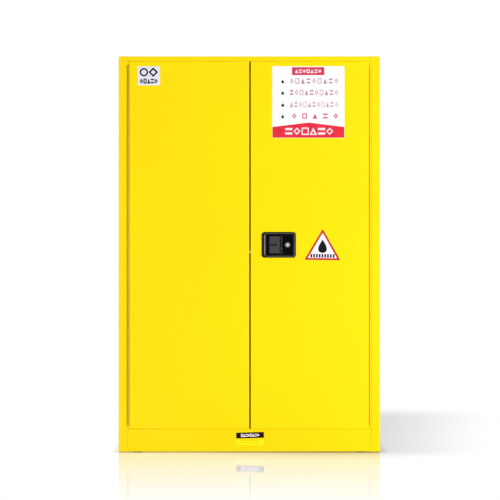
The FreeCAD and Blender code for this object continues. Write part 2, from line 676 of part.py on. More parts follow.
def handle_housing():
    """Black dish with a raised bezel, ears for the paddle's pin and a boss for the lock."""
    front, floor = FRONT - BEZEL_PROUD, FRONT + POCKET_DEPTH
    bezel = prism(rounded_rect(HANDLE_X, HANDLE_Z, BEZEL_W, BEZEL_H, BEZEL_R), "xz", front, FRONT)
    bezel = round_edges(bezel, 1.6, lambda b: b.YMax < front + 0.1)
    collar = rounded_rect(HANDLE_X, HANDLE_Z, BEZEL_W - 17, BEZEL_H - 17, BEZEL_R - 5)
    dish = rounded_rect(POCKET_X, HANDLE_Z, POCKET_W + 2 * DISH_WALL,
                        POCKET_H + 2 * DISH_WALL, POCKET_R + DISH_WALL)
    body = fuse([bezel, prism(collar, "xz", FRONT, FRONT + COLLAR_DEPTH),
                 prism(dish, "xz", FRONT + BEVEL_DEPTH + 1, floor + DISH_WALL)])
    pocket = rounded_rect(POCKET_X, HANDLE_Z, POCKET_W, POCKET_H, POCKET_R)
    mouth = rounded_rect(HANDLE_X, HANDLE_Z, BEZEL_W - 2 * BEZEL_RIM, BEZEL_H - 2 * BEZEL_RIM, 8)
    mouth_wire = rounded_outline(mouth, lambda p: Vec(p.x, front, p.y))
    pocket_wire = rounded_outline(pocket, lambda p: Vec(p.x, FRONT + BEVEL_DEPTH, p.y))
    bevel = Part.makeLoft([mouth_wire, pocket_wire], True, True)
    body = body.cut([bevel, prism(pocket, "xz", FRONT + BEVEL_DEPTH - 0.01, floor)])
    boss = lock_boss(0, FRONT + 1, floor + 1).cut(lock_boss(2.2, FRONT, FRONT + 2.5))
    ear_z = PADDLE_H / 2 + 0.6
    ears = []
    for sz in (-1, 1):
        z = HANDLE_Z + sz * (ear_z + POCKET_H / 2) / 2
        half = (POCKET_H / 2 - ear_z) / 2
        ears.append(block(PADDLE_AXIS_X - 5, PADDLE_AXIS_X + 5, PADDLE_AXIS_Y - 5, floor + 1,
                          z - half, z + half))
    body = fuse([body, boss] + ears)
    drive_slot = block(ROTOR_X - 17, PADDLE_AXIS_X + 5, floor - 1, floor + 4,
                       ROTOR_Z + 8, ROTOR_Z + 30)
    cuts = [
        rod(PADDLE_AXIS_X, PADDLE_AXIS_Y, HANDLE_Z - POCKET_H / 2 - 1, PADDLE_PIN_R + RUNNING,
            POCKET_H + 2, Z),
        rod(LOCK_X, FRONT - 1, LOCK_Z, LOCK_R, POCKET_DEPTH + 10, Y),
        drive_slot,
    ]
    return body.cut(cuts + screw_holes(bezel_screws(), FRONT - 2, FRONT + 1))


def paddle():
    """Pull flap with a bevelled finger edge and two hinge lugs, a hub on the pin between
    them, and a blade behind that drives the rotor."""
    x1 = PADDLE_AXIS_X + 1.5
    x0 = x1 - PADDLE_W
    y0 = FRONT + 1.5
    z0, z1 = HANDLE_Z - PADDLE_H / 2, HANDLE_Z + PADDLE_H / 2
    outline = [
        (x0 + 9, y0, 1.5),
        (x1 - 1, y0, 2),
        (x1 - 1, PADDLE_AXIS_Y, 0),
        (x1 - 9, PADDLE_AXIS_Y, 0),
        (x1 - 9, y0 + 4, 1),
        (x0 + 9, y0 + 3.5, 1),
        (x0 + 5, y0 + 11, 0),
        (x0 + 1, y0 + 10, 1),
    ]
    plate = prism(outline, "xy", z0, z1)
    hinge_slot = block(x1 - 8, x1 + 1, y0 - 1, PADDLE_AXIS_Y - 3,
                       HANDLE_Z - HINGE_SLOT_H / 2, HANDLE_Z + HINGE_SLOT_H / 2)
    hub = rod(PADDLE_AXIS_X, PADDLE_AXIS_Y, z0, 4.6, PADDLE_H, Z)
    blade = block(PADDLE_AXIS_X - 1.5, PADDLE_AXIS_X + 1.5, PADDLE_AXIS_Y, PADDLE_AXIS_Y + 19.5,
                  ROTOR_Z + 11, ROTOR_Z + 27)
    mark_x = (x0 + x1) / 2 - 4.4
    marks = [prism(rounded_rect(mark_x, HANDLE_Z, 20, 4, 1.8), "xz", y0 - 1, y0 + 0.9)]
    for dx in (-9, 9):
        marks.append(prism(rounded_rect(mark_x + dx, HANDLE_Z, 7.5, 6.5, 2.5), "xz", y0 - 1, y0 + 0.9))
    spring_gap = rod(PADDLE_AXIS_X, PADDLE_AXIS_Y, HANDLE_Z - 22, 6.5, 12, Z)
    bore = rod(PADDLE_AXIS_X, PADDLE_AXIS_Y, z0 - 1, PADDLE_PIN_R + RUNNING, PADDLE_H + 2, Z)
    return fuse([plate.cut(hinge_slot), hub, blade]).cut(marks + [spring_gap, bore])


def paddle_spring():
    """Torsion spring round the paddle's pin."""
    wire, turns, pitch, radius = 0.55, 6, 1.5, 3.6
    z = HANDLE_Z - 20.5
    helix = Part.makeHelix(pitch, pitch * turns, radius)
    helix.translate(Vec(PADDLE_AXIS_X, PADDLE_AXIS_Y, z))
    start = Vec(PADDLE_AXIS_X + radius, PADDLE_AXIS_Y, z)
    section = Part.Wire(Part.makeCircle(wire, start, Vec(0, 1, 0.07)))
    return Part.Wire(helix.Edges).makePipeShell([section], True, True)


def lock_barrel():
    """Chrome lock body with a flanged face, held by its nut behind the dish."""
    face = FRONT - 1
    flange = rod(LOCK_X, face, LOCK_Z, 10, 2, Y)
    flange = round_edges(flange, 0.8, lambda b: b.YMax < face + 0.1)
    shell = rod(LOCK_X, face, LOCK_Z, LOCK_R, 29.5, Y)
    nut = hexagon(LOCK_X, LOCK_Z, 21, "xz", FRONT + POCKET_DEPTH + DISH_WALL, FRONT + 28.5)
    return fuse([flange, shell, nut]).cut(rod(LOCK_X, face - 1, LOCK_Z, PLUG_R + RUNNING, 40, Y))


def lock_plug():
    """Turning core with a key slot, and the cam that bars the rotor when it is locked."""
    core = rod(LOCK_X, FRONT - 1.5, LOCK_Z, PLUG_R, 31.5, Y)
    core = round_edges(core, 0.5, lambda b: b.YMax < FRONT - 1.4)
    slot = block(LOCK_X - 1, LOCK_X + 1, FRONT - 3, FRONT + 12, LOCK_Z - 4, LOCK_Z + 4)
    cam = prism(rounded_rect(LOCK_X, LOCK_Z + 6.5, 9, 22, 4), "xz", ROTOR_Y, ROTOR_Y + ROTOR_T)
    return fuse([core.cut(slot), cam])


def bezel_screws():
    x, z = BEZEL_W / 2 - 4, BEZEL_H / 2 - 14
    return [(HANDLE_X + dx, HANDLE_Z + dz) for dx, dz in corners_of(x, z)]


def cover_screws():
    x, z = COVER_W / 2 - 8, COVER_H / 2 - 8
    return [(COVER_X + dx, COVER_Z + dz) for dx, dz in corners_of(x, z)]


def screw_holes(places, y0, y1):
    return [rod(x, y0, z, SCREW_R, y1 - y0, Y) for x, z in places]


def handle_fasteners():
    """The paddle's pin, four screws that clamp the bezel and four that hold the latch cover."""
    pin = rod(PADDLE_AXIS_X, PADDLE_AXIS_Y, HANDLE_Z - POCKET_H / 2, PADDLE_PIN_R, POCKET_H, Z)
    pieces = [pin]
    for x, z in bezel_screws():
        head = rod(x, FRONT + SHEET, z, 3, 2, Y)
        shank = rod(x, FRONT - 2, z, SCREW_R, 3, Y)
        pieces.append(fuse([head, shank.fuse(rod(x, FRONT, z, SCREW_R, 2, Y))]))
    for x, z in cover_screws():
        head = Part.makeCone(4.5, 3.2, 1.8, Vec(x, DOOR_BACK + 2 * SHEET, z), Y)
        shank = rod(x, DOOR_BACK - 3, z, SCREW_R, 5.5, Y)
        pieces.append(fuse([head, shank]))
    return Part.makeCompound(pieces)


def latch_cover():
    outline = rounded_rect(COVER_X, COVER_Z, COVER_W, COVER_H, 8)
    cover = prism(outline, "xz", DOOR_BACK + SHEET, DOOR_BACK + 2 * SHEET)
    return cover.cut(screw_holes(cover_screws(), DOOR_BACK, DOOR_BACK + 5))


# ---------------------------------------------------------------- latch
def rotor_point(radius, degrees):
    turn = math.radians(degrees)
    return ROTOR_X + radius * math.cos(turn), ROTOR_Z + radius * math.sin(turn)


UPPER_PIN = rotor_point(ROTOR_ROD_R, 180 - ROTOR_HALF_SWING)
LOWER_PIN = rotor_point(ROTOR_ROD_R, -ROTOR_HALF_SWING)
BOLT_PIN = rotor_point(ROTOR_BOLT_R, 270 - ROTOR_HALF_SWING)
DRIVE_PIN = rotor_point(ROTOR_DRIVE_R, 90)


def latch_rotor():
    """Four-armed plate on a central pivot: one drive pin in front, three crank pins behind."""
    arms = [rod(ROTOR_X, ROTOR_Y, ROTOR_Z, 13, ROTOR_T, Y)]
    for px, pz in (UPPER_PIN, LOWER_PIN, BOLT_PIN, DRIVE_PIN):
        dx, dz = px - ROTOR_X, pz - ROTOR_Z
        length = math.hypot(dx, dz)
        nx, nz = -dz / length * ARM_END_R, dx / length * ARM_END_R
        web = [(ROTOR_X + nx, ROTOR_Z + nz, 0), (px + nx, pz + nz, 0),
               (px - nx, pz - nz, 0), (ROTOR_X - nx, ROTOR_Z - nz, 0)]
        arms += [prism(web, "xz", ROTOR_Y, ROTOR_Y + ROTOR_T),
                 rod(px, ROTOR_Y, pz, ARM_END_R, ROTOR_T, Y)]
    pins = [
        rod(px, ROTOR_Y + ROTOR_T / 2, pz, CRANK_PIN_R, SLIDE_Y + SLIDE_T - ROTOR_Y - ROTOR_T / 2, Y)
        for px, pz in (UPPER_PIN, LOWER_PIN, BOLT_PIN)
    ]
    drive_y = FRONT + 22.5
    pins.append(rod(DRIVE_PIN[0], drive_y, DRIVE_PIN[1], CRANK_PIN_R, ROTOR_Y - drive_y + 1, Y))
    return fuse(arms + pins).cut(rod(ROTOR_X, ROTOR_Y - 1, ROTOR_Z, 4.06, 10, Y))


def rotor_pivot():
    """Shouldered stud on the back of the dish that the rotor turns on."""
    y0 = FRONT + POCKET_DEPTH + DISH_WALL
    spacer = rod(ROTOR_X, y0, ROTOR_Z, 8, ROTOR_Y - 0.2 - y0, Y)
    stud = rod(ROTOR_X, y0, ROTOR_Z, 4, 11, Y)
    clip = rod(ROTOR_X, ROTOR_Y + ROTOR_T + 0.2, ROTOR_Z, 7, 1.2, Y)
    return fuse([spacer, stud, clip])


def crank_slot(px, pz, along):
    """Hole in a rod's flat end that lets its crank pin swing to the side."""
    fit = CRANK_PIN_R + CRANK_PLAY
    half_x = fit + (CRANK_SIDE_SWING if along == "x" else 0)
    half_z = fit + (CRANK_SIDE_SWING if along == "z" else 0)
    return block(px - half_x, px + half_x, SLIDE_Y - 1, SLIDE_Y + SLIDE_T + 1,
                 pz - half_z, pz + half_z)


def latch_rod(x, pin, sign):
    """Flat drop-forged end over the rotor, then a round rod to the edge of the door."""
    flat_end = pin[1] - sign * 8
    flat_to = HANDLE_Z + sign * 92
    tip = DOOR_TOP + ROD_THROW if sign > 0 else DOOR_BOTTOM - ROD_THROW
    z0, z1 = min(flat_end, flat_to), max(flat_end, flat_to)
    half = LINK_W / 2
    flat = block(x - half, x + half, SLIDE_Y, SLIDE_Y + SLIDE_T, z0, z1)
    flat = flat.cut(crank_slot(x, pin[1], "x"))
    start = HANDLE_Z + sign * 72
    shaft = rod(x, ROD_Y, start, ROD_R, abs(tip - start), Vec(0, 0, sign))
    shaft = round_edges(shaft, 3.0, lambda b: b.ZLength < 0.1 and abs(b.ZMin - tip) < 0.1)
    flat_face = block(x - half, x + half, SLIDE_Y + SLIDE_T, ROD_Y + ROD_R + 1,
                      min(start, start + sign * 16), max(start, start + sign * 16))
    return fuse([flat, shaft.cut(flat_face)])


def centre_bolt():
    """Flat link from the rotor to a bevelled bolt that enters the left door."""
    x0, x1 = RIGHT_DOOR_EDGE - BOLT_THROW, BOLT_PIN[0] + CRANK_PIN_R + 2.3
    z0, z1 = BOLT_Z - BOLT_H / 2, BOLT_Z + BOLT_H / 2
    link = block(58, x1, SLIDE_Y, SLIDE_Y + SLIDE_T, z0, z1)
    link = link.cut(crank_slot(BOLT_PIN[0], BOLT_Z, "z"))
    nose = prism([(x0, BOLT_Y0, 0), (62, BOLT_Y0, 0), (62, BOLT_Y1, 0), (x0 + 9, BOLT_Y1, 0),
                  (x0, BOLT_Y0 + 3, 1)], "xy", z0, z1)
    return fuse([nose, link])


def rod_guides():
    """Brackets inside the door skin that guide the rods and the centre bolt."""
    guides = []
    inside = FRONT + SHEET
    for x, places in ((UPPER_ROD_X, (1010, 1560)), (LOWER_ROD_X, (700, 150))):
        for z in places:
            shelf_plate = block(x - 15, x + 15, inside, DOOR_BACK - SHEET - CLEAR, z, z + 2.5)
            foot = block(x - 15, x + 15, inside, inside + 2.5, z, z + 24)
            hole = rod(x, ROD_Y, z - 1, ROD_R + 0.08, 5, Z)
            guides.append(fuse([shelf_plate, foot]).cut(hole))
    plate = block(24, 26.5, inside, DOOR_BACK - SHEET - CLEAR, BOLT_Z - 18, BOLT_Z + 18)
    foot = block(24, 46, inside, inside + 2.5, BOLT_Z - 18, BOLT_Z + 18)
    window = bolt_slot(20, 30)
    guides.append(fuse([plate, foot]).cut(window))
    return Part.makeCompound(guides)


# ---------------------------------------------------------------- labels
def label(cx, cz, width, height):
    outline = rounded_rect(cx, cz, width, height, LABEL_R)
    return prism(outline, "xz", FRONT - LABEL_T, FRONT)


def caution_label():
    """Small label on the sill, stuck on slightly askew."""
    x, z = CAUTION[:2]
    return label(*CAUTION).rotate(Vec(x, 0, z), Y, -CAUTION_TILT)


def hazard_label():
    """Triangle with one point up, stuck on slightly askew."""
    half, height = HAZARD_SIDE / 2, HAZARD_SIDE * math.sqrt(3) / 2
    x, z = HAZARD_X, HAZARD_Z
    corners = [(x - half, z, HAZARD_R), (x + half, z, HAZARD_R), (x, z + height, HAZARD_R)]
    return prism(corners, "xz", FRONT - LABEL_T, FRONT).rotate(Vec(x, 0, z), Y, HAZARD_TILT)


def parts():
    """Every node of the cabinet by name."""
    left_leaf_frame, left_leaf_door = hinge_leaf(False), hinge_leaf(True)
    made = {
        "outer_left_side": side_panel(LEFT_VENT_Z),
        "outer_right_side": right_side_panel(),
        "outer_back": back_panel(),
        "outer_top": top_panel(),
        "outer_base": base_pan(),
        "header": header(),
        "sill": sill(),
        "liner_side_panels": liner_sides(),
        "liner_back_panel": liner_back(),
        "liner_ceiling": liner_ceiling(),
        "sump_tray": sump_tray(),
        "wall_spacers": wall_spacers(),
        "shelf_uprights": shelf_uprights(),
        "shelf_hangers": shelf_hangers(),
        "upper_shelf": shelf(UPPER_SHELF_Z),
        "lower_shelf": shelf(LOWER_SHELF_Z),
        "left_vent_fitting": vent_fitting(LEFT_VENT_Z),
        "right_vent_fitting": mirrored(vent_fitting(RIGHT_VENT_Z)),
        "left_vent_cap": vent_cap(LEFT_VENT_Z),
        "right_vent_cap": mirrored(vent_cap(RIGHT_VENT_Z)),
        "flame_arresters": flame_arresters(),
        "earth_stud": earth_stud(),
        "earth_nut": earth_nut(),
        "foot_inserts": foot_inserts(),
        "left_hinge_frame_leaf": left_leaf_frame,
        "left_hinge_door_leaf": left_leaf_door,
        "right_hinge_frame_leaf": mirrored(left_leaf_frame),
        "right_hinge_door_leaf": mirrored(left_leaf_door),
        "hinge_pins": hinge_pins(),
        "strike_plates": strike_plates(),
        "door_bumpers": door_bumpers(),
        "left_door_skin": left_door_skin(),
        "left_door_liner": left_door_liner(),
        "left_door_stiffeners": door_stiffeners((-400, -280, -160)),
        "astragal": astragal(),
        "centre_keeper": centre_keeper(),
        "right_door_skin": right_door_skin(),
        "right_door_liner": right_door_liner(),
        "right_door_stiffeners": door_stiffeners((230, 350)),
        "handle_housing": handle_housing(),
        "handle_fasteners": handle_fasteners(),
        "latch_cover": latch_cover(),
        "rod_guides": rod_guides(),
        "rotor_pivot": rotor_pivot(),
        "lock_barrel": lock_barrel(),
        "lock_plug": lock_plug(),
        "paddle": paddle(),
        "paddle_spring": paddle_spring(),
        "latch_rotor": latch_rotor(),
        "upper_latch_rod": latch_rod(UPPER_ROD_X, UPPER_PIN, 1),
        "lower_latch_rod": latch_rod(LOWER_ROD_X, LOWER_PIN, -1),
        "centre_bolt": centre_bolt(),
        "approval_label": label(*APPROVAL),
        "notice_label": label(*NOTICE),
        "hazard_label": hazard_label(),
        "caution_label": caution_label(),
    }
    for (fx, fy), side in zip(corners_of(FOOT_X, FOOT_Y), ("left", "left", "right", "right")):
        end = "front" if fy < 0 else "rear"
        made[f"{end}_{side}_foot"] = levelling_foot(fx, fy)
    return made


os.makedirs("parts", exist_ok=True)
nodes = parts()
for node, shape in nodes.items():
    shape.exportStep(f"parts/{node}.step")
    if not shape.isValid():
        print("invalid:", node)
print(len(nodes), "nodes")
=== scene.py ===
import json
import math
import random
from functools import partial
from itertools import product

import bmesh
import bpy
from mathutils import Matrix, Vector


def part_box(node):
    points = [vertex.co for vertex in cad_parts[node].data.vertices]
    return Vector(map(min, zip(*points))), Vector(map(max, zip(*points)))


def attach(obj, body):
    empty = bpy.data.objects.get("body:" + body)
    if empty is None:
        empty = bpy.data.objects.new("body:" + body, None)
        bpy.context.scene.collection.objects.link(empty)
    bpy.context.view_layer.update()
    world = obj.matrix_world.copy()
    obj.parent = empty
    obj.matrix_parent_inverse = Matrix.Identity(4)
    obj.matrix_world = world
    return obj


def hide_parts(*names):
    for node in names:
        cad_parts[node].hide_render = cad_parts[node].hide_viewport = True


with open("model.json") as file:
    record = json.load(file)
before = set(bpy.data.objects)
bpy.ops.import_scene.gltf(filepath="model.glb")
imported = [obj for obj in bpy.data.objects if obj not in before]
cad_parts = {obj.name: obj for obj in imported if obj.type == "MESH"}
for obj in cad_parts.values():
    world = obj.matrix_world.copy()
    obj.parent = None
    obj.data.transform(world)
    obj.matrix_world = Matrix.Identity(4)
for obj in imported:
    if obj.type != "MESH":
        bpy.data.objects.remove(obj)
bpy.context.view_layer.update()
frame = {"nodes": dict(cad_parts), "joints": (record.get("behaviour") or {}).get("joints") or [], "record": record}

MM = 0.001
CAMERA_DISTANCE = 8.0  # from the front of the case, in metres
CAMERA_X, CAMERA_HEIGHT = 0.0027, 0.8425
FRAME_WIDTH = 2.084  # seen across at the doors, in metres
SENSOR_WIDTH = 36
CASE_HALF_WIDTH, CASE_HALF_DEPTH = 0.545, 0.23
DOOR_CLEARANCE, DOOR_SLOT, HINGE_SLOT = 0.12 * MM, 1.2 * MM, 6.4 * MM
NODES = frame["nodes"]
SLOT_OF = {part["node"]: part["material_slot"] for part in frame["record"]["subparts"]}
BODY_OF = {
    node: body
    for body, members in frame["record"]["behaviour"]["bodies"].items()
    for node in members
}


# ---------------------------------------------------------------- node materials
class Graph:
    """Short calls that add nodes to a node tree."""

    def __init__(self, tree):
        self.tree = tree

    def node(self, kind, **values):
        """A new node, with each value on its property or on the input of that name."""
        made = self.tree.nodes.new(kind)
        for key, value in values.items():
            if hasattr(made, key):
                setattr(made, key, value)
            else:
                made.inputs[key.replace("_", " ")].default_value = value
        return made

    def link(self, start, end):
        self.tree.links.new(start, end)

    def axes(self, kind="Object"):
        """X, Y and Z of a texture coordinate; the object's own are metres at rest."""
        coords = self.node("ShaderNodeTexCoord")
        split = self.node("ShaderNodeSeparateXYZ")
        self.link(coords.outputs[kind], split.inputs[0])
        return split.outputs

    def value(self, operation, *terms, clamp=False):
        made = self.node("ShaderNodeMath", operation=operation, use_clamp=clamp)
        for socket, term in zip(made.inputs, terms):
            if isinstance(term, (int, float)):
                socket.default_value = term
            else:
                self.link(term, socket)
        return made.outputs[0]

    def beyond(self, place, half):
        """Distance outside a band of the given half width round zero."""
        outside = self.value("SUBTRACT", self.value("ABSOLUTE", place), half)
        return self.value("MAXIMUM", outside, 0.0)

    def ramp(self, value, start, end, low=0.0, high=1.0, shape="SMOOTHSTEP"):
        """Low up to the start and high from the end on, for a rising value."""
        made = self.node("ShaderNodeMapRange", interpolation_type=shape,
                         From_Min=start, From_Max=end, To_Min=low, To_Max=high)
        self.link(value, made.inputs["Value"])
        return made.outputs["Result"]

    def mix(self, factor, first, second):
        """Colour between two, each a colour or a socket."""
        made = self.node("ShaderNodeMix", data_type="RGBA")
        self.link(factor, made.inputs[0])
        for socket, item in ((made.inputs[6], first), (made.inputs[7], second)):
            if isinstance(item, tuple):
                socket.default_value = (*item, 1)
            else:
                self.link(item, socket)
        return made.outputs[2]


class Material(Graph):
    """A principled material whose colour, gloss and relief vary by procedural textures."""

    def __init__(self, name, color, roughness, metallic=0.0, specular=0.5):
        self.data = bpy.data.materials.new(name)
        self.data.use_nodes = True
        self.data.diffuse_color = (*color, 1)
        super().__init__(self.data.node_tree)
        self.shader = self.tree.nodes["Principled BSDF"]
        for socket, value in (("Base Color", (*color, 1)), ("Roughness", roughness),
                              ("Metallic", metallic), ("Specular IOR Level", specular)):
            self.shader.inputs[socket].default_value = value
        self.color = color
        self.roughness = roughness

    def textured(self, kind, stretch=(1, 1, 1), **values):
        """A texture node on the object's own coordinates."""
        coords = self.node("ShaderNodeTexCoord")
        mapping = self.node("ShaderNodeMapping", Scale=stretch)
        self.link(coords.outputs["Object"], mapping.inputs["Vector"])
        texture = self.node(kind, **values)
        self.link(mapping.outputs["Vector"], texture.inputs["Vector"])
        return texture

    def noise(self, per_metre, detail=2.0, stretch=(1, 1, 1)):
        texture = self.textured("ShaderNodeTexNoise", stretch, Scale=per_metre, Detail=detail)
        return texture.outputs["Fac"]

    def vary_color(self, factor, other):
        """Base colour between the material's own and another, by a 0 to 1 value."""
        self.link(self.mix(factor, self.color, other), self.shader.inputs["Base Color"])

    def recolor(self, factor, low=None, high=None):
        """Base colour between itself and another, given as the factor's low or high end."""
        base = self.shader.inputs["Base Color"]
        present = base.links[0].from_socket
        self.link(self.mix(factor, low or present, high or present), base)

    def vary_roughness(self, value, spread):
        low, high = self.roughness - spread, self.roughness + spread
        self.link(self.ramp(value, 0, 1, low, high, "LINEAR"), self.shader.inputs["Roughness"])

    def bump(self, height, depth, strength=1.0):
        """Relief of a 0 to 1 height, depth in metres; a second call adds to the first."""
        made = self.node("ShaderNodeBump", Strength=strength, Distance=depth)
        self.link(height, made.inputs["Height"])
        normal = self.shader.inputs["Normal"]
        if normal.is_linked:
            self.link(normal.links[0].from_socket, made.inputs["Normal"])
        self.link(made.outputs["Normal"], normal)


def powder_paint(name, color, shade):
    """Semi-gloss powder coat: fine orange peel over a gentler ripple, and slight clouding."""
    paint = Material(name, color, 0.36, specular=0.14)
    paint.vary_color(paint.ramp(paint.noise(2.2, 3), 0.35, 0.65, shape="LINEAR"), shade)
    paint.vary_roughness(paint.noise(35, 3), 0.06)
    paint.bump(paint.noise(420, 1.5), 0.00008, 0.35)
    paint.bump(paint.noise(90, 2), 0.00012, 0.25)
    return paint


def back_sheet_paint():
    """The case's paint over shallow spot-weld dimples, in five upright rows on the back sheet."""
    paint = powder_paint("back_powder_coat", YELLOW_CASE, SHADE_OF_YELLOW)
    x, _, z = paint.axes()
    row_pitch, first_row, weld_pitch, first_weld = 0.25, 0.5, 0.1093, 0.06
    across = paint.value("PINGPONG", paint.value("ADD", x, first_row), row_pitch / 2)
    along = paint.value("PINGPONG", paint.value("ADD", z, -first_weld), weld_pitch / 2)
    squares = [paint.value("MULTIPLY", side, side) for side in (across, along)]
    reach = paint.value("SQRT", paint.value("ADD", *squares))
    sheet = paint.ramp(reach, 0.0028, 0.0046)
    paint.bump(sheet, 0.0006)
    # The dimples are a darker yellow than the sheet round them.
    paint.recolor(sheet, low=(0.84, 0.59, 0.0004))
    return paint


def galvanised():
    """Zinc spangle: flat crystals that differ in tone and gloss."""
    zinc = Material("galvanised_sheet", (0.60, 0.62, 0.64), 0.40, metallic=1.0)
    cells = zinc.textured("ShaderNodeTexVoronoi", Scale=140)
    crystal = zinc.node("ShaderNodeSeparateColor")
    zinc.link(cells.outputs["Color"], crystal.inputs["Color"])
    zinc.vary_color(crystal.outputs["Red"], (0.42, 0.44, 0.46))
    zinc.vary_roughness(crystal.outputs["Green"], 0.12)
    zinc.bump(zinc.noise(300, 3), 0.00004, 0.4)
    return zinc


def plated_steel(name, color, roughness, tint):
    """Zinc-plated or bright steel with faint clouding and fine handling marks."""
    steel = Material(name, color, roughness, metallic=1.0)
    steel.vary_color(steel.ramp(steel.noise(60, 3), 0.3, 0.7, shape="LINEAR"), tint)
    steel.vary_roughness(steel.noise(400, 2), 0.07)
    steel.bump(steel.noise(900, 2), 0.00002, 0.4)
    return steel


def drawn_rod():
    """Bright drawn stainless bar, with fine lines along it."""
    steel = Material("stainless_bar", (0.66, 0.66, 0.67), 0.27, metallic=1.0)
    lines = steel.noise(1800, 2, stretch=(1, 1, 0.02))
    steel.vary_roughness(lines, 0.08)
    steel.bump(lines, 0.00002, 0.5)
    steel.vary_color(steel.noise(30, 2), (0.56, 0.56, 0.57))
    return steel


def plain_brass():
    brass = Material("plain_brass", (0.75, 0.54, 0.22), 0.26, metallic=1.0)
    cloud = brass.ramp(brass.noise(220, 4), 0.35, 0.75, shape="LINEAR")
    brass.vary_color(cloud, (0.42, 0.27, 0.10))
    brass.vary_roughness(brass.noise(500, 3), 0.10)
    return brass


def moulded_plastic(name, color, roughness, specular):
    """Black moulding with a fine spark-eroded texture, worn a little smoother in patches."""
    plastic = Material(name, color, roughness, specular=specular)
    plastic.vary_color(plastic.noise(45, 3), tuple(c * 1.5 + 0.001 for c in color))
    plastic.vary_roughness(plastic.noise(60, 3), 0.09)
    plastic.bump(plastic.noise(2600, 2), 0.00004, 0.5)
    return plastic


def paddle_plastic():
    """The paddle's moulding, grey on its plate; the hinge hub beside it is painted near black, painted shade for
    the dark gap between the paddle and its housing.
    """
    plastic = moulded_plastic("paddle_black", (0.034, 0.029, 0.035), 0.42, 0.30)
    plate_end, hub_start = 0.1262, 0.1270
    # Painted shade: near black from the plate's end on, over the hinge hub.
    hub_painted_shade = plastic.ramp(plastic.axes()[0], plate_end, hub_start)
    plastic.recolor(hub_painted_shade, high=(0.004, 0.0035, 0.004))
    return plastic


def black_rubber():
    rubber = Material("black_rubber", (0.018, 0.018, 0.019), 0.78, specular=0.35)
    rubber.vary_color(rubber.noise(80, 4), (0.05, 0.048, 0.045))
    rubber.bump(rubber.noise(700, 3), 0.00008, 0.5)
    return rubber


def label_vinyl(name, color, shade, specular=0.12):
    """Printed vinyl film: a faint ripple from being smoothed on by hand."""
    vinyl = Material(name, color, 0.38, specular=specular)
    vinyl.vary_color(vinyl.ramp(vinyl.noise(25, 3), 0.3, 0.7, shape="LINEAR"), shade)
    vinyl.bump(vinyl.noise(35, 2), 0.0002, 0.15)
    vinyl.bump(vinyl.noise(1500, 1), 0.00002, 0.3)
    return vinyl


YELLOW_CASE = (0.97, 0.715, 0.0005)
YELLOW_DOOR = (0.98, 0.735, 0.0005)
SHADE_OF_YELLOW = (0.96, 0.69, 0.0004)

MATERIALS = {
    "case_paint": powder_paint("case_powder_coat", YELLOW_CASE, SHADE_OF_YELLOW),
    "door_paint": powder_paint("door_powder_coat", YELLOW_DOOR, YELLOW_CASE),
    "liner_paint": powder_paint("liner_powder_coat", (0.90, 0.66, 0.004), (0.86, 0.61, 0.004)),
    "sump_paint": powder_paint("sump_powder_coat", (0.88, 0.64, 0.004), (0.80, 0.56, 0.004)),
    # The first hinge paint is a much darker copy of the yellow: painted shade for the shadow in the hinge slots.
    # The right hinge's leaves get the second, a lighter copy, as the better-lit side.
    "hinge_paint": powder_paint("hinge_painted_shade_coat", (0.62, 0.445, 0.002), (0.57, 0.40, 0.002)),
    "right_hinge_lit_copy_paint": powder_paint("right_hinge_lit_copy_coat", (0.95, 0.70, 0.001),
                                      (0.92, 0.66, 0.001)),
    "vent_steel": powder_paint("vent_powder_coat", (0.92, 0.68, 0.004), (0.86, 0.62, 0.004)),
    "galvanised": galvanised(),
    "zinc_steel": plated_steel("zinc_plated_steel", (0.62, 0.61, 0.58), 0.33, (0.50, 0.50, 0.44)),
    "hinge_pin_steel": plated_steel("hinge_wire", (0.42, 0.42, 0.42), 0.30, (0.34, 0.33, 0.32)),
    "cap_steel": plated_steel("cap_zinc", (0.40, 0.40, 0.39), 0.38, (0.30, 0.30, 0.28)),
    "screen_steel": plated_steel("screen_steel", (0.45, 0.45, 0.45), 0.42, (0.34, 0.34, 0.34)),
    "spring_steel": plated_steel("spring_wire", (0.35, 0.35, 0.37), 0.28, (0.25, 0.25, 0.26)),
    "stainless": drawn_rod(),
    "chrome": plated_steel("satin_barrel", (0.36, 0.36, 0.37), 0.34, (0.27, 0.27, 0.28)),
    "brass": plain_brass(),
    "black_zinc": moulded_plastic("housing_black", (0.0030, 0.0026, 0.0030), 0.42, 0.07),
    "paddle_black": paddle_plastic(),
    "rubber": black_rubber(),
    "white_label": label_vinyl("white_vinyl", (0.92, 0.91, 0.92), (0.88, 0.87, 0.90)),
    "red_label": label_vinyl("pink_white_vinyl", (0.95, 0.86, 0.94), (0.93, 0.82, 0.90)),
    "black_label": label_vinyl("black_vinyl", (0.010, 0.005, 0.005), (0.02, 0.008, 0.008), 0.05),
}
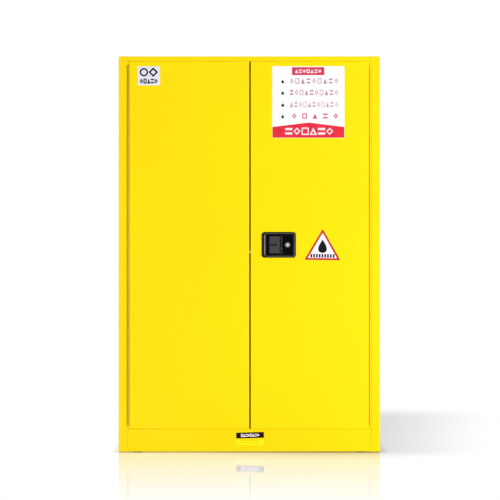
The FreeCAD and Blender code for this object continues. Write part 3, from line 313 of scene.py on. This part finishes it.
INK = {
    "red": label_vinyl("red_ink", (0.70, 0.020, 0.048), (0.78, 0.035, 0.06)),
    "dark_red": label_vinyl("dark_red_ink", (0.50, 0.022, 0.010), (0.58, 0.035, 0.012)),
    "white": label_vinyl("white_ink", (0.92, 0.80, 0.84), (0.90, 0.74, 0.80)),
    "crimson": label_vinyl("crimson_ink", (0.60, 0.035, 0.085), (0.66, 0.045, 0.10)),
    "mauve": label_vinyl("mauve_ink", (0.47, 0.20, 0.29), (0.54, 0.27, 0.36)),
    "grey": label_vinyl("pink_grey_ink", (0.56, 0.30, 0.40), (0.62, 0.38, 0.47)),
    "pink": label_vinyl("pink_ink", (0.58, 0.09, 0.19), (0.64, 0.14, 0.25)),
    "dark": label_vinyl("dark_ink", (0.008, 0.006, 0.013), (0.016, 0.014, 0.022), 0.05),
    "black": label_vinyl("black_ink", (0.0015, 0.0012, 0.0016), (0.003, 0.0025, 0.003), 0.02),
    "pale": label_vinyl("pale_outline_ink", (0.70, 0.70, 0.76), (0.76, 0.76, 0.80)),
    "lavender": label_vinyl("lavender_film", (0.74, 0.75, 0.84), (0.80, 0.78, 0.86)),
    "ochre": label_vinyl("ochre_ink", (0.78, 0.55, 0.002), (0.74, 0.52, 0.002)),
    "lemon": label_vinyl("lemon_film", (0.98, 0.86, 0.002), (0.98, 0.82, 0.002)),
}


# ---------------------------------------------------------------- mesh building
def smooth(piece, degrees=35):
    """Smooth shading, with edges sharper than the angle kept."""
    for polygon in piece.data.polygons:
        polygon.use_smooth = True
    piece.data.set_sharp_from_angle(angle=math.radians(degrees))


def add_piece(name, bm, material, body, replaced=()):
    """A finished mesh piece that rides on a body."""
    bmesh.ops.remove_doubles(bm, verts=bm.verts, dist=1e-7)
    bmesh.ops.recalc_face_normals(bm, faces=bm.faces)
    data = bpy.data.meshes.new(name)
    bm.to_mesh(data)
    bm.free()
    data.materials.append(material.data)
    piece = bpy.data.objects.new(name, data)
    bpy.context.scene.collection.objects.link(piece)
    smooth(piece)
    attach(piece, body)
    if replaced:
        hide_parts(*replaced)


def loop_strip(bm, first, second):
    """Quads between two closed rings of vertices."""
    count = len(first)
    for i in range(count):
        j = (i + 1) % count
        bm.faces.new((first[i], first[j], second[j], second[i]))


def turn_to(axis):
    """Rotation that takes +Z to the axis."""
    return Vector((0, 0, 1)).rotation_difference(Vector(axis)).to_matrix().to_4x4()


def hex_radius(across_flats, angle):
    """Distance to a hexagon's edge in the direction of the angle."""
    sector = (angle + math.pi / 6) % (math.pi / 3) - math.pi / 6
    return across_flats / 2 / math.cos(sector)


def add_ring(bm, matrix, height, segments, radius_at):
    """Ring of vertices round +Z, with a radius for each angle; sizes in mm."""
    ring = []
    for i in range(segments):
        angle = 2 * math.pi * i / segments
        radius = radius_at(angle)
        point = Vector((radius * math.cos(angle), radius * math.sin(angle), height)) * MM
        ring.append(bm.verts.new(matrix @ point))
    return ring


def close_stack(bm, rings):
    """Faces between the rings of a stack, and over its two ends."""
    for first, second in zip(rings, rings[1:]):
        loop_strip(bm, first, second)
    bm.faces.new(rings[0][::-1])
    bm.faces.new(rings[-1])


def lathe(bm, profile, place, axis=(0, 0, 1), segments=36):
    """Closed turned body. profile is [(radius, height)] in mm from bottom centre to top centre;
    a radius given as ("hex", across flats) makes that ring six-sided."""
    matrix = Matrix.Translation(place) @ turn_to(axis)

    def radius_at(radius, angle):
        return hex_radius(radius[1], angle) if isinstance(radius, tuple) else radius

    close_stack(bm, [add_ring(bm, matrix, height, segments, partial(radius_at, radius))
                     for radius, height in profile])


def threaded_rod(bm, place, axis, length, radius, pitch, segments=40):
    """Screw thread with a real helical ridge and a chamfered far end; sizes in mm."""
    depth, per_turn, chamfer = 0.55 * pitch, 8, 0.8 * pitch
    matrix = Matrix.Translation(place) @ turn_to(axis)
    count = int(length / pitch * per_turn)

    def radius_at(height, angle):
        limit = radius - max(0.0, chamfer - (length - height))
        phase = (height / pitch - angle / (2 * math.pi)) % 1
        return min(limit, radius - depth * abs(2 * phase - 1))

    heights = [length * k / count for k in range(count + 1)]
    close_stack(bm, [add_ring(bm, matrix, height, segments, partial(radius_at, height))
                     for height in heights])


def dome(bm, place, axis, radius, height, segments=20, rings=4):
    """Low domed head that stands on a surface; sizes in mm."""
    profile = [(radius, 0)]
    for k in range(1, rings + 1):
        turn = math.pi / 2 * k / (rings + 0.6)
        profile.append((radius * math.cos(turn), height * math.sin(turn)))
    lathe(bm, profile, place, axis, segments)


def tube_loop(bm, path, y, radius, segments=10):
    """Closed round bead along a path of (x, z) points in a plane; sizes in mm."""
    rings = []
    for i, (x, z) in enumerate(path):
        (ax, az), (bx, bz) = path[i - 1], path[(i + 1) % len(path)]
        length = math.hypot(bx - ax, bz - az)
        nx, nz = (bz - az) / length, -(bx - ax) / length
        ring = []
        for k in range(segments):
            turn = 2 * math.pi * k / segments
            out, up = radius * math.cos(turn), radius * math.sin(turn)
            ring.append(bm.verts.new(Vector((x + nx * out, y + up, z + nz * out)) * MM))
        rings.append(ring)
    for first, second in zip(rings, rings[1:] + rings[:1]):
        loop_strip(bm, first, second)


def evenly(low, high, margin, count):
    """Evenly spaced places between two ends, a margin in mm inside both."""
    start, step = low + margin * MM, (high - low - 2 * margin * MM) / (count - 1)
    return [start + i * step for i in range(count)]


def box_strip(name, low, high, slot, body):
    """A plain rectangular strip between two corners, in metres."""
    bm = bmesh.new()
    low, high = Vector(low), Vector(high)
    matrix = Matrix.Translation((low + high) / 2) @ Matrix.Diagonal((*(high - low), 1))
    bmesh.ops.create_cube(bm, size=1, matrix=matrix)
    add_piece(name, bm, MATERIALS[slot], body)


# ---------------------------------------------------------------- printed shapes
class Print:
    """Flat printed shapes on a label's front face, in mm from the label's centre."""

    FILM = 0.06

    def __init__(self, label, tilt=0.0, centre=None):
        low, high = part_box(label)
        self.label = label
        self.centre = (low + high) / 2
        if centre is not None:
            self.centre.x, self.centre.z = centre[0] * MM, centre[1] * MM
        self.front = low.y
        self.tilt = math.radians(tilt)
        self.layers = {}

    def _to_world(self, point, lift):
        c, s = math.cos(self.tilt), math.sin(self.tilt)
        x, z = point[0] * c - point[1] * s, point[0] * s + point[1] * c
        return Vector((self.centre.x + x * MM, self.front - lift * MM, self.centre.z + z * MM))

    def shape(self, ink, outer, inner=None, level=1):
        """A closed thin prism with the outline, or a band between two outlines."""
        bm = self.layers.setdefault(ink, bmesh.new())
        low, high = (level - 1) * self.FILM, level * self.FILM
        edges = []
        for outline in (outer, inner) if inner else (outer,):
            edges.append([[bm.verts.new(self._to_world(point, lift)) for point in outline]
                          for lift in (low, high)])
            loop_strip(bm, *edges[-1])
        if inner:
            for outside, inside in zip(*edges):
                loop_strip(bm, outside, inside)
            return
        for ring in edges[0]:
            face = bm.faces.new(ring)
            face.normal_update()  # a concave outline is cut up wrongly without it
            bmesh.ops.triangulate(bm, faces=[face])

    def box(self, ink, x, z, width, height, radius=1.5, line=None, level=1):
        """A filled box, or with a line width an outlined one."""
        inner = line and rounded_box(x, z, width - 2 * line, height - 2 * line,
                                     max(radius - line, 0.2))
        self.shape(ink, rounded_box(x, z, width, height, radius), inner, level)

    def finish(self, body):
        for ink, bm in self.layers.items():
            add_piece(f"{self.label}_{ink}_print", bm, INK[ink], body)


def rounded_box(x, z, width, height, radius, steps=4):
    """Box with rounded corners round its centre, anticlockwise from the lower right."""
    points = []
    for k, (sx, sz) in enumerate(((1, -1), (1, 1), (-1, 1), (-1, -1))):
        cx = x + sx * (width / 2 - radius)
        cz = z + sz * (height / 2 - radius)
        for i in range(steps + 1):
            turn = math.pi / 2 * (k - 1 + i / steps)
            points.append((cx + radius * math.cos(turn), cz + radius * math.sin(turn)))
    return points


def circle(x, z, radius, steps=32):
    turns = [2 * math.pi * i / steps for i in range(steps)]
    return [(x + radius * math.cos(t), z + radius * math.sin(t)) for t in turns]


def triangle(x, z, side, corner, steps=6):
    """Equilateral triangle with rounded corners round its centre, point up."""
    points = []
    reach = side / math.sqrt(3) - 2 * corner
    for k in range(3):
        middle = math.radians(-30 + 120 * k)
        cx, cz = x + reach * math.cos(middle), z + reach * math.sin(middle)
        for i in range(steps + 1):
            turn = middle + math.radians(-60 + 120 * i / steps)
            points.append((cx + corner * math.cos(turn), cz + corner * math.sin(turn)))
    return points


def drop(x, z, radius, height, steps=40):
    """A plain drop: a round foot drawn up to a point."""
    points = []
    for i in range(steps):
        t = 2 * math.pi * i / steps
        width = radius * math.sin(t) * math.sin(t / 2) ** 1.5
        points.append((x + width, z + height / 2 * math.cos(t)))
    return points


def diamond(x, z, half_width, half_height):
    return [(x + half_width, z), (x, z + half_height), (x - half_width, z), (x, z - half_height)]


def peak(x, base, half_width, height):
    return [(x - half_width, base), (x + half_width, base), (x, base + height)]


def blank_row(label, ink, x0, x1, z, count, width, height, line, level=1):
    """A row of plain marks that stand in for printing: boxes, diamonds, bar pairs, triangles."""
    for i in range(count):
        x = x0 + (x1 - x0 - width) * i / (count - 1) + width / 2
        kind = (i * 3 + count) % 4
        if kind == 0:
            label.box(ink, x, z, width, height, 0.8, line, level)
        elif kind == 1:
            hollow = max(1 - 2.6 * line / width, 0.3)
            outlines = [diamond(x, z, k * width / 2, k * height / 2) for k in (1, hollow)]
            label.shape(ink, *outlines, level=level)
        elif kind == 2:
            for side in (-1, 1):
                label.box(ink, x, z + side * height * 0.3, width, height * 0.3, 0.6, None, level)
        else:
            base, inset = z - height / 2, line * 0.9
            inner = peak(x, base + inset, width / 2 - 2 * inset, height - 3.6 * inset)
            label.shape(ink, peak(x, base, width / 2, height),
                        inner if width > 6 * inset else None, level)


def notice_label():
    """White notice with a title bar, four rows and a red band, all left blank of words."""
    label = Print("notice_label")
    low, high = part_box("notice_label")
    side, foot = (high.x - low.x) / MM / 2 - 1, (low.z - high.z) / MM / 2
    title_z, icon_x, row_end, row_height = 129, -107, 124, 23
    label.box("crimson", -1, title_z, 135, 33, 1)
    blank_row(label, "white", -56, 54, title_z, 7, 13, 16, 3.4, level=2)
    for z, ink, row_start, count, size, line in (
            (88, "mauve", -77, 9, 15.5, 3.0), (40, "mauve", -77, 10, 14.5, 2.8),
            (-10, "grey", -77, 11, 13, 2.6), (-58, "pink", -69, 5, 20, 4.6)):
        blank_row(label, ink, row_start, row_end, z, count, size, row_height, line)
        label.shape("pale", triangle(icon_x, z - 3, 31, 3), triangle(icon_x, z - 3, 27.5, 2.4))
        label.shape("dark", drop(icon_x, z - 2, 8.5, 15))
    band_top, apex = foot + 46, foot + 64
    label.shape("red", [(-side, foot + 1), (side, foot + 1), (side, band_top), (4, apex),
                        (0, apex), (-side, band_top)])
    blank_row(label, "white", -97, 104, foot + 28, 6, 30, 31, 5.0, level=2)
    label.finish("right_door")


def hazard_label():
    """Warning triangle with a red border, a plain drop and a blank row."""
    lower_edge, side, tilt = (304.3, 800.4), 151, -0.8
    label = Print("hazard_label", tilt, lower_edge)
    middle = side / math.sqrt(12)
    label.shape("dark_red", triangle(0, middle, side - 0.6, 2.5), triangle(0, middle, 122, 1.2))
    label.shape("dark", drop(0, 58.5, 26, 57))
    for i in range(9):
        label.box("dark", (i - 4) * 11.6, 17.8, 7.6, 15, 1.0)
    label.finish("right_door")


def approval_label():
    """Pale film with a ring, a diamond and a row of plain marks."""
    label = Print("approval_label")
    label.box("lavender", 0, 0, 92, 78, 1)
    label.shape("dark", circle(-20, 15, 17.5), circle(-20, 15, 11), level=2)
    label.shape("dark", *[diamond(19, 15, r, r) for r in (20, 10.5)], level=2)
    blank_row(label, "dark", -37, 37, -22, 5, 13.5, 21, 4.6, level=2)
    label.finish("left_door")


def caution_label():
    """Small black label on the sill with a blank row, over a pale film strip."""
    label = Print("caution_label", tilt=1.8)
    blank_row(label, "white", -38, 38, 0, 8, 9.5, 13, 3.0)
    label.finish("cabinet")
    strip = Print("caution_label")
    strip.label = "caution_strip"
    strip.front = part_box("sill")[0].y
    strip.centre.z -= 29.5 * MM
    strip.box("lemon", 0, 0, 113, 23, 1)
    for z, width in ((8, 84), (-0.5, 80)):
        strip.box("ochre", 0, z, width, 2.2, 0.8, level=2)
    strip.finish("cabinet")


def paddle_mark():
    """Black film over the paddle's recess: a bar with a wider pad at each end."""
    recess, depth = (101.6, 864), 1.49 * MM
    inlay = Print("paddle", centre=recess)
    inlay.label, inlay.front = "paddle_inlay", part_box("sill")[0].y + depth
    quarter = [(3.6, 2.2), (5.2, 3.5), (11.9, 3.5), (13.0, 2.7), (13.0, 0.6)]
    outline = []
    for sx, sz in ((1, -1), (1, 1), (-1, 1), (-1, -1)):
        for x, z in quarter if sx * sz < 0 else quarter[::-1]:
            outline.append((sx * x, sz * z))
    inlay.shape("black", outline)
    inlay.finish("paddle")


# ---------------------------------------------------------------- hardware
def levelling_feet():
    """Rubber pad, steel collar and screw of each foot."""
    pad_profile = [(16.2, 0.6), (16.6, 0.1), (17, 0), (19.5, 0.25), (21.4, 1.2), (22, 2.6),
                   (22, 5.4), (21.2, 7.2), (19, 8.5), (16, 9)]
    collar_profile = [(10.2, 9), (("hex", 21.4), 9.4), (("hex", 22), 9.9), (("hex", 22), 18.8),
                      (("hex", 21.4), 19.3), (10.2, 19.7)]
    stud_start = 19.6
    for node in sorted(n for n in NODES if n.endswith("_foot")):
        low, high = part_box(node)
        foot = Vector(((low.x + high.x) / 2, (low.y + high.y) / 2, low.z))
        for part, profile, slot in (("pad", pad_profile, "rubber"),
                                    ("collar", collar_profile, "zinc_steel")):
            bm = bmesh.new()
            lathe(bm, profile, foot, segments=48)
            add_piece(f"{node}_{part}", bm, MATERIALS[slot], node, [node])
        stud = bmesh.new()
        threaded_rod(stud, foot + Vector((0, 0, stud_start * MM)), (0, 0, 1),
                     (high.z - low.z) / MM - stud_start, 6, 1.75)
        add_piece(f"{node}_stud", stud, MATERIALS["zinc_steel"], node, [node])


def earth_terminal():
    """Threaded earth stud, and a chamfered nut over a washer."""
    low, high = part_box("earth_stud")
    nut_low, nut_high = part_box("earth_nut")
    y, z = (low.y + high.y) / 2, (low.z + high.z) / 2
    outward = (1, 0, 0)
    stud = bmesh.new()
    lathe(stud, [(7.4, 0), (8, 0.5), (8, 2.5), (4.2, 2.5), (4.2, 5.2)], Vector((low.x, y, z)),
          outward)
    start = nut_low.x + 1.5 * MM
    threaded_rod(stud, Vector((start, y, z)), outward, (high.x - start) / MM, 4, 1.25, 36)
    add_piece("earth_stud_threaded", stud, MATERIALS["brass"], "cabinet", ["earth_stud"])
    nut = bmesh.new()
    thick = (nut_high.x - nut_low.x) / MM
    lathe(nut, [(5, 0), (8.2, 0), (8.5, 0.3), (8.5, 0.9), (8.2, 1.2), (6.3, 1.2),
                (("hex", 13), 1.6), (("hex", 13), thick - 0.5), (6.2, thick), (4.25, thick),
                (4.25, thick - 0.6)], Vector((nut_low.x, y, z)), outward, 48)
    add_piece("earth_nut_chamfered", nut, MATERIALS["brass"], "cabinet", ["earth_nut"])


def handle_fasteners():
    """Button-head screws of the latch cover, and the bezel's nuts behind the skin."""
    low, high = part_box("latch_cover")
    screws = bmesh.new()
    inset = 8 * MM
    for x in (low.x + inset, high.x - inset):
        for z in (low.z + inset, high.z - inset):
            lathe(screws, [(1.5, -5), (1.5, 0), (4.5, 0), (4.4, 0.5), (3.9, 1.2), (3.0, 1.7),
                           (("hex", 3.0), 1.8), (("hex", 2.9), 0.6)],
                  Vector((x, high.y, z)), (0, 1, 0))
    low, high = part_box("handle_housing")
    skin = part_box("right_door_skin")[0].y
    middle = (low + high) / 2
    half_x, half_z = (high.x - low.x) / 2 - 4 * MM, (high.z - low.z) / 2 - 14 * MM
    for sx in (-1, 1):
        for sz in (-1, 1):
            lathe(screws, [(1.5, -2), (1.5, 1.2), (3, 1.2), (3, 2.6), (2.6, 3.2)],
                  Vector((middle.x + sx * half_x, skin, middle.z + sz * half_z)), (0, 1, 0), 24)
    add_piece("handle_screws", screws, MATERIALS["zinc_steel"], "right_door",
              ["handle_fasteners"])


def handle_bezel():
    """Raised ridge round the handle's recess, and a lighter grey bead along its left: a painted highlight where
    the recess's left inner wall catches the light.
    """
    low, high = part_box("handle_housing")
    left_margin, right_margin, end_margin = 12.4, 6.4, 5.6
    bead, proud, highlight_width = 0.95, 0.75, 2.6
    x, z = (low.x + high.x) / 2 / MM, (low.z + high.z) / 2 / MM
    width = (high.x - low.x) / MM - left_margin - right_margin
    height = (high.z - low.z) / MM - 2 * end_margin
    ridge = rounded_box(x + (left_margin - right_margin) / 2, z, width, height, 7.0, 8)
    highlight_strip = rounded_box(low.x / MM + left_margin, z, highlight_width, height - 15, highlight_width / 2, 8)
    for name, path, plastic in (
            # Painted highlight: the lighter grey of the left bead stands in for light on the recess's inner wall.
            ("handle_painted_highlight_strip", highlight_strip, ("painted_highlight_grey", (0.175, 0.165, 0.18), 0.36, 0.4)),
            ("handle_bezel_ridge", ridge, ("ridge_grey", (0.15, 0.14, 0.145), 0.34, 0.5))):
        bm = bmesh.new()
        tube_loop(bm, path, low.y / MM + proud, bead)
        add_piece(name, bm, moulded_plastic(*plastic), "right_door")


def paddle_pin():
    """Upright pin that the paddle turns on, with chamfered ends."""
    low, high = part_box("handle_housing")
    length = 82
    pin = bmesh.new()
    joint = next(j for j in frame["joints"] if j["name"] == "paddle_pull")
    bottom = Vector(joint["pos_m"])
    bottom.z = (low.z + high.z) / 2 - length / 2 * MM
    lathe(pin, [(2.1, 0), (2.5, 0.4), (2.5, length - 0.4), (2.1, length)], bottom, segments=32)
    add_piece("paddle_pivot_pin", pin, MATERIALS["black_zinc"], "right_door",
              ["handle_fasteners"])


def hinge_rivets():
    """Low domed rivets along each leaf of the two continuous hinges."""
    for side, part in product(("left", "right"), ("frame", "door")):
        node = f"{side}_hinge_{part}_leaf"
        low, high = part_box(node)
        faces_right = (side == "left") == (part == "frame")
        x = low.x + 1.2 * MM if faces_right else high.x - 1.2 * MM
        axis = (1 if faces_right else -1, 0, 0)
        rivets = bmesh.new()
        for z in evenly(low.z, high.z, 60, 12):
            dome(rivets, Vector((x, high.y - 9 * MM, z)), axis, 3.2, 1.0)
        # Painted shade: the left rivets take the darker copy of the hinge paint, the right ones the lighter copy.
        paint = MATERIALS["hinge_paint" if side == "left" else "right_hinge_lit_copy_paint"]
        add_piece(f"{node}_rivets", rivets, paint, BODY_OF[node])


def weld_marks():
    """Faint painted spot welds along the edges of the side panels and inside the doors."""
    for side, sign in (("left", -1), ("right", 1)):
        low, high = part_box(f"outer_{side}_side")
        face = low.x if sign < 0 else high.x
        marks = bmesh.new()
        for z, y in product(evenly(low.z, high.z, 60, 15), (low.y + 12 * MM, high.y - 12 * MM)):
            dome(marks, Vector((face, y, z)), (sign, 0, 0), 3.5, 0.25, 16, 3)
        add_piece(f"{side}_side_spot_welds", marks, MATERIALS["case_paint"], "cabinet")
    for side in ("left", "right"):
        low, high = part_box(f"{side}_door_liner")
        marks = bmesh.new()
        for z, x in product(evenly(low.z, high.z, 25, 13), (low.x + 10 * MM, high.x - 10 * MM)):
            dome(marks, Vector((x, high.y, z)), (0, 1, 0), 3.5, 0.5, 16, 3)
        add_piece(f"{side}_door_spot_welds", marks, MATERIALS["door_paint"], f"{side}_door")


def sump_welds():
    """Rippled weld beads up the corners of the sump."""
    random.seed(4)
    low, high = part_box("sump_tray")
    inside = 1.2 * MM
    beads = bmesh.new()
    for x, turn_x in ((low.x + inside, 1), (high.x - inside, -1)):
        for y, turn_y in ((low.y + inside, 1), (high.y - inside, -1)):
            axis = Vector((turn_x, turn_y, 0.5)).normalized()
            for k in range(14):
                z = low.z + 2 * MM + k * 3.3 * MM
                size = random.uniform(3.0, 3.5)
                dome(beads, Vector((x, y, z)), axis, size, 2.6, 14, 4)
    add_piece("sump_weld_beads", beads, MATERIALS["sump_paint"], "cabinet")


def gap_strips():
    """Painted beads in the slots round the doors, and a near-black strip behind the middle gap: painted shade that
    darkens the gap.
    """
    skin_low, skin_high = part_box("left_door_skin")
    right_low, right_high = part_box("right_door_skin")
    front = skin_low.y + 0.5 * MM
    back = front + 4 * MM
    for name, z0, z1 in (
            ("header_bead", skin_high.z + DOOR_CLEARANCE, skin_high.z + DOOR_SLOT),
            ("sill_bead", skin_low.z - DOOR_SLOT, skin_low.z - DOOR_CLEARANCE)):
        box_strip(name, (skin_low.x + 1 * MM, front, z0), (right_high.x - 1 * MM, back, z1),
                  "case_paint", "cabinet")
    edge = abs(skin_low.x)
    for side, sign, top_gap in (("left", -1, 4.5 * MM), ("right", 1, 0.5 * MM)):
        low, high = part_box(f"{side}_hinge_frame_leaf")
        x0, x1 = sorted((sign * (edge + DOOR_CLEARANCE), sign * (edge + HINGE_SLOT)))
        for end, z0, z1 in (("top", high.z + top_gap, skin_high.z - DOOR_CLEARANCE),
                            ("bottom", skin_low.z + DOOR_CLEARANCE, low.z - 0.5 * MM)):
            box_strip(f"{side}_hinge_{end}_bead", (x0, front, z0), (x1, back, z1),
                      "case_paint", "cabinet")
    # Painted shade: a black rubber strip on the astragal, behind the middle gap, makes the gap look darker.
    low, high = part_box("astragal")
    face = low.y + 0.7 * MM
    box_strip("astragal_shade_strip",
              (skin_high.x + DOOR_CLEARANCE, face - 0.5 * MM, low.z + 1 * MM),
              (right_low.x - DOOR_CLEARANCE, face, high.z - 1 * MM), "rubber", "left_door")


# ---------------------------------------------------------------- CAD nodes
def dress_cad_nodes():
    """Materials and edge shading of the CAD parts that are shown as they are."""
    special = {
        "lock_plug": plated_steel("satin_plug", (0.88, 0.88, 0.90), 0.30, (0.74, 0.74, 0.76)),
        "latch_cover": MATERIALS["liner_paint"],
        "outer_back": back_sheet_paint(),
        # The right hinge's leaves take the lighter copy of the hinge paint; the darker copy on the rest is painted
        # shade.
        "right_hinge_frame_leaf": MATERIALS["right_hinge_lit_copy_paint"],
        "right_hinge_door_leaf": MATERIALS["right_hinge_lit_copy_paint"],
    }
    for node, piece in NODES.items():
        piece.data.materials.clear()
        piece.data.materials.append(special.get(node, MATERIALS[SLOT_OF[node]]).data)
        smooth(piece, 30)


# ---------------------------------------------------------------- studio
def area_light(name, place, target, width, height, power):
    data = bpy.data.lights.new(name, "AREA")
    data.shape = "RECTANGLE"
    data.size, data.size_y = width, height
    data.energy = power
    light = bpy.data.objects.new(name, data)
    light.location = place
    direction = Vector(target) - Vector(place)
    light.rotation_euler = direction.to_track_quat("-Z", "Y").to_euler()
    bpy.context.scene.collection.objects.link(light)


def floor_material():
    """White that mirrors the cabinet faintly, near it only, with a soft shade to its right."""
    material = bpy.data.materials.new("floor_white")
    material.use_nodes = True
    graph = Graph(material.node_tree)
    graph.tree.nodes.remove(graph.tree.nodes["Principled BSDF"])
    x, y, _ = graph.axes()
    ahead = graph.value("MAXIMUM", graph.value("SUBTRACT", -CASE_HALF_DEPTH, y), 0.0)
    beside = graph.value("MAXIMUM", graph.beyond(x, CASE_HALF_WIDTH),
                         graph.value("SUBTRACT", y, CASE_HALF_DEPTH))
    beside = graph.value("MAXIMUM", beside, 0.0)

    # a mirror image at grazing angles only, that thins out away from the cabinet
    mirror_share, mirror_fade, mirror_reach = 0.56, 2.5 / CAMERA_DISTANCE, 0.9
    facing = graph.node("ShaderNodeLayerWeight", Blend=0.5)
    grazing = graph.ramp(facing.outputs["Facing"], 0.70, 0.86)
    fade = graph.value("MULTIPLY", ahead, mirror_fade)
    mirror = graph.value("SUBTRACT", mirror_share, fade, clamp=True)
    mirror = graph.value("MULTIPLY", mirror, graph.ramp(beside, 0.0, mirror_reach, 1.0, 0.0))
    mirror = graph.value("MULTIPLY", mirror, grazing)

    # a soft shade runs back from the right side and thins out to the right
    shade_depth, shade_strength = 2.15, 0.38
    side = graph.value("DIVIDE", x, graph.value("MULTIPLY_ADD", y, 1 / CAMERA_DISTANCE, 1.0))
    across = graph.ramp(side, 0.30, 1.16, shade_strength, 0.0)
    back = graph.ramp(y, shade_depth - 0.75, shade_depth, 1.0, 0.0)
    front = graph.ramp(y, -0.56, -0.13)
    right = graph.ramp(x, -0.5, 0.5)
    shade = graph.value("MULTIPLY", graph.value("MULTIPLY", across, back),
                        graph.value("MULTIPLY", front, right))
    lit = graph.value("SUBTRACT", 1.02, shade)

    # a warm line of contact shade round the foot of the case
    contact = graph.ramp(graph.value("MAXIMUM", ahead, beside), 0.0, 0.045)
    glow = graph.node("ShaderNodeEmission")
    graph.link(lit, glow.inputs["Strength"])
    graph.link(graph.mix(contact, (0.56, 0.47, 0.17), (1, 1, 1)), glow.inputs["Color"])
    gloss = graph.node("ShaderNodeBsdfGlossy", Roughness=0.06)
    graph.link(lit, gloss.inputs["Color"])
    mixed = graph.node("ShaderNodeMixShader")
    for socket, output in zip(mixed.inputs, (mirror, glow.outputs[0], gloss.outputs[0])):
        graph.link(output, socket)
    graph.link(mixed.outputs[0], graph.tree.nodes["Material Output"].inputs["Surface"])
    return material


def studio_floor():
    """A large sheet that the lights below its level shine through."""
    bm = bmesh.new()
    bmesh.ops.create_grid(bm, x_segments=1, y_segments=1, size=80)
    data = bpy.data.meshes.new("floor")
    bm.to_mesh(data)
    bm.free()
    floor = bpy.data.objects.new("floor", data)
    bpy.context.scene.collection.objects.link(floor)
    floor.visible_diffuse = False
    floor.visible_shadow = False
    data.materials.append(floor_material())


def studio():
    """White surroundings, darker on the camera's side, with large soft lights."""
    world = bpy.data.worlds.new("studio")
    bpy.context.scene.world = world
    world.use_nodes = True
    graph = Graph(world.node_tree)
    background = graph.tree.nodes["Background"]
    background.inputs["Color"].default_value = (1, 1, 1, 1)
    y = graph.axes("Generated")[1]
    surround = graph.ramp(y, -0.75, -0.25, 0.32, 0.62)
    surround = graph.value("MAXIMUM", surround, graph.ramp(y, 0.6, 0.85, 0.0, 1.03))
    seen = graph.node("ShaderNodeLightPath").outputs["Is Camera Ray"]
    unseen = graph.value("SUBTRACT", 1.0, seen)
    strength = graph.value("ADD", graph.value("MULTIPLY", seen, 1.04),
                           graph.value("MULTIPLY", unseen, surround))
    graph.link(strength, background.inputs["Strength"])

    area_light("key", (3.4, -2.9, 0.62), (0, 0, 0.62), 1.8, 2.6, 165)
    area_light("fill", (-3.6, -3.1, 0.50), (0, 0, 0.62), 1.8, 2.6, 71)
    area_light("top", (0, 0.1, 4.2), (0, 0, 0), 2.6, 2.6, 58)


def camera():
    """Level and straight on, through a very long lens."""
    data = bpy.data.cameras.new("camera")
    data.sensor_width = SENSOR_WIDTH
    data.lens = SENSOR_WIDTH * CAMERA_DISTANCE / FRAME_WIDTH
    data.clip_end = 200
    view = bpy.data.objects.new("camera", data)
    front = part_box("sill")[0].y
    view.location = (CAMERA_X, front - CAMERA_DISTANCE, CAMERA_HEIGHT)
    view.rotation_euler = (math.pi / 2, 0, 0)
    bpy.context.scene.collection.objects.link(view)
    bpy.context.scene.camera = view
    bpy.context.scene.view_settings.view_transform = "Standard"


camera()
studio()
studio_floor()
dress_cad_nodes()
notice_label()
hazard_label()
approval_label()
caution_label()
paddle_mark()
levelling_feet()
earth_terminal()
handle_fasteners()
handle_bezel()
paddle_pin()
hinge_rivets()
weld_marks()
sump_welds()
gap_strips()
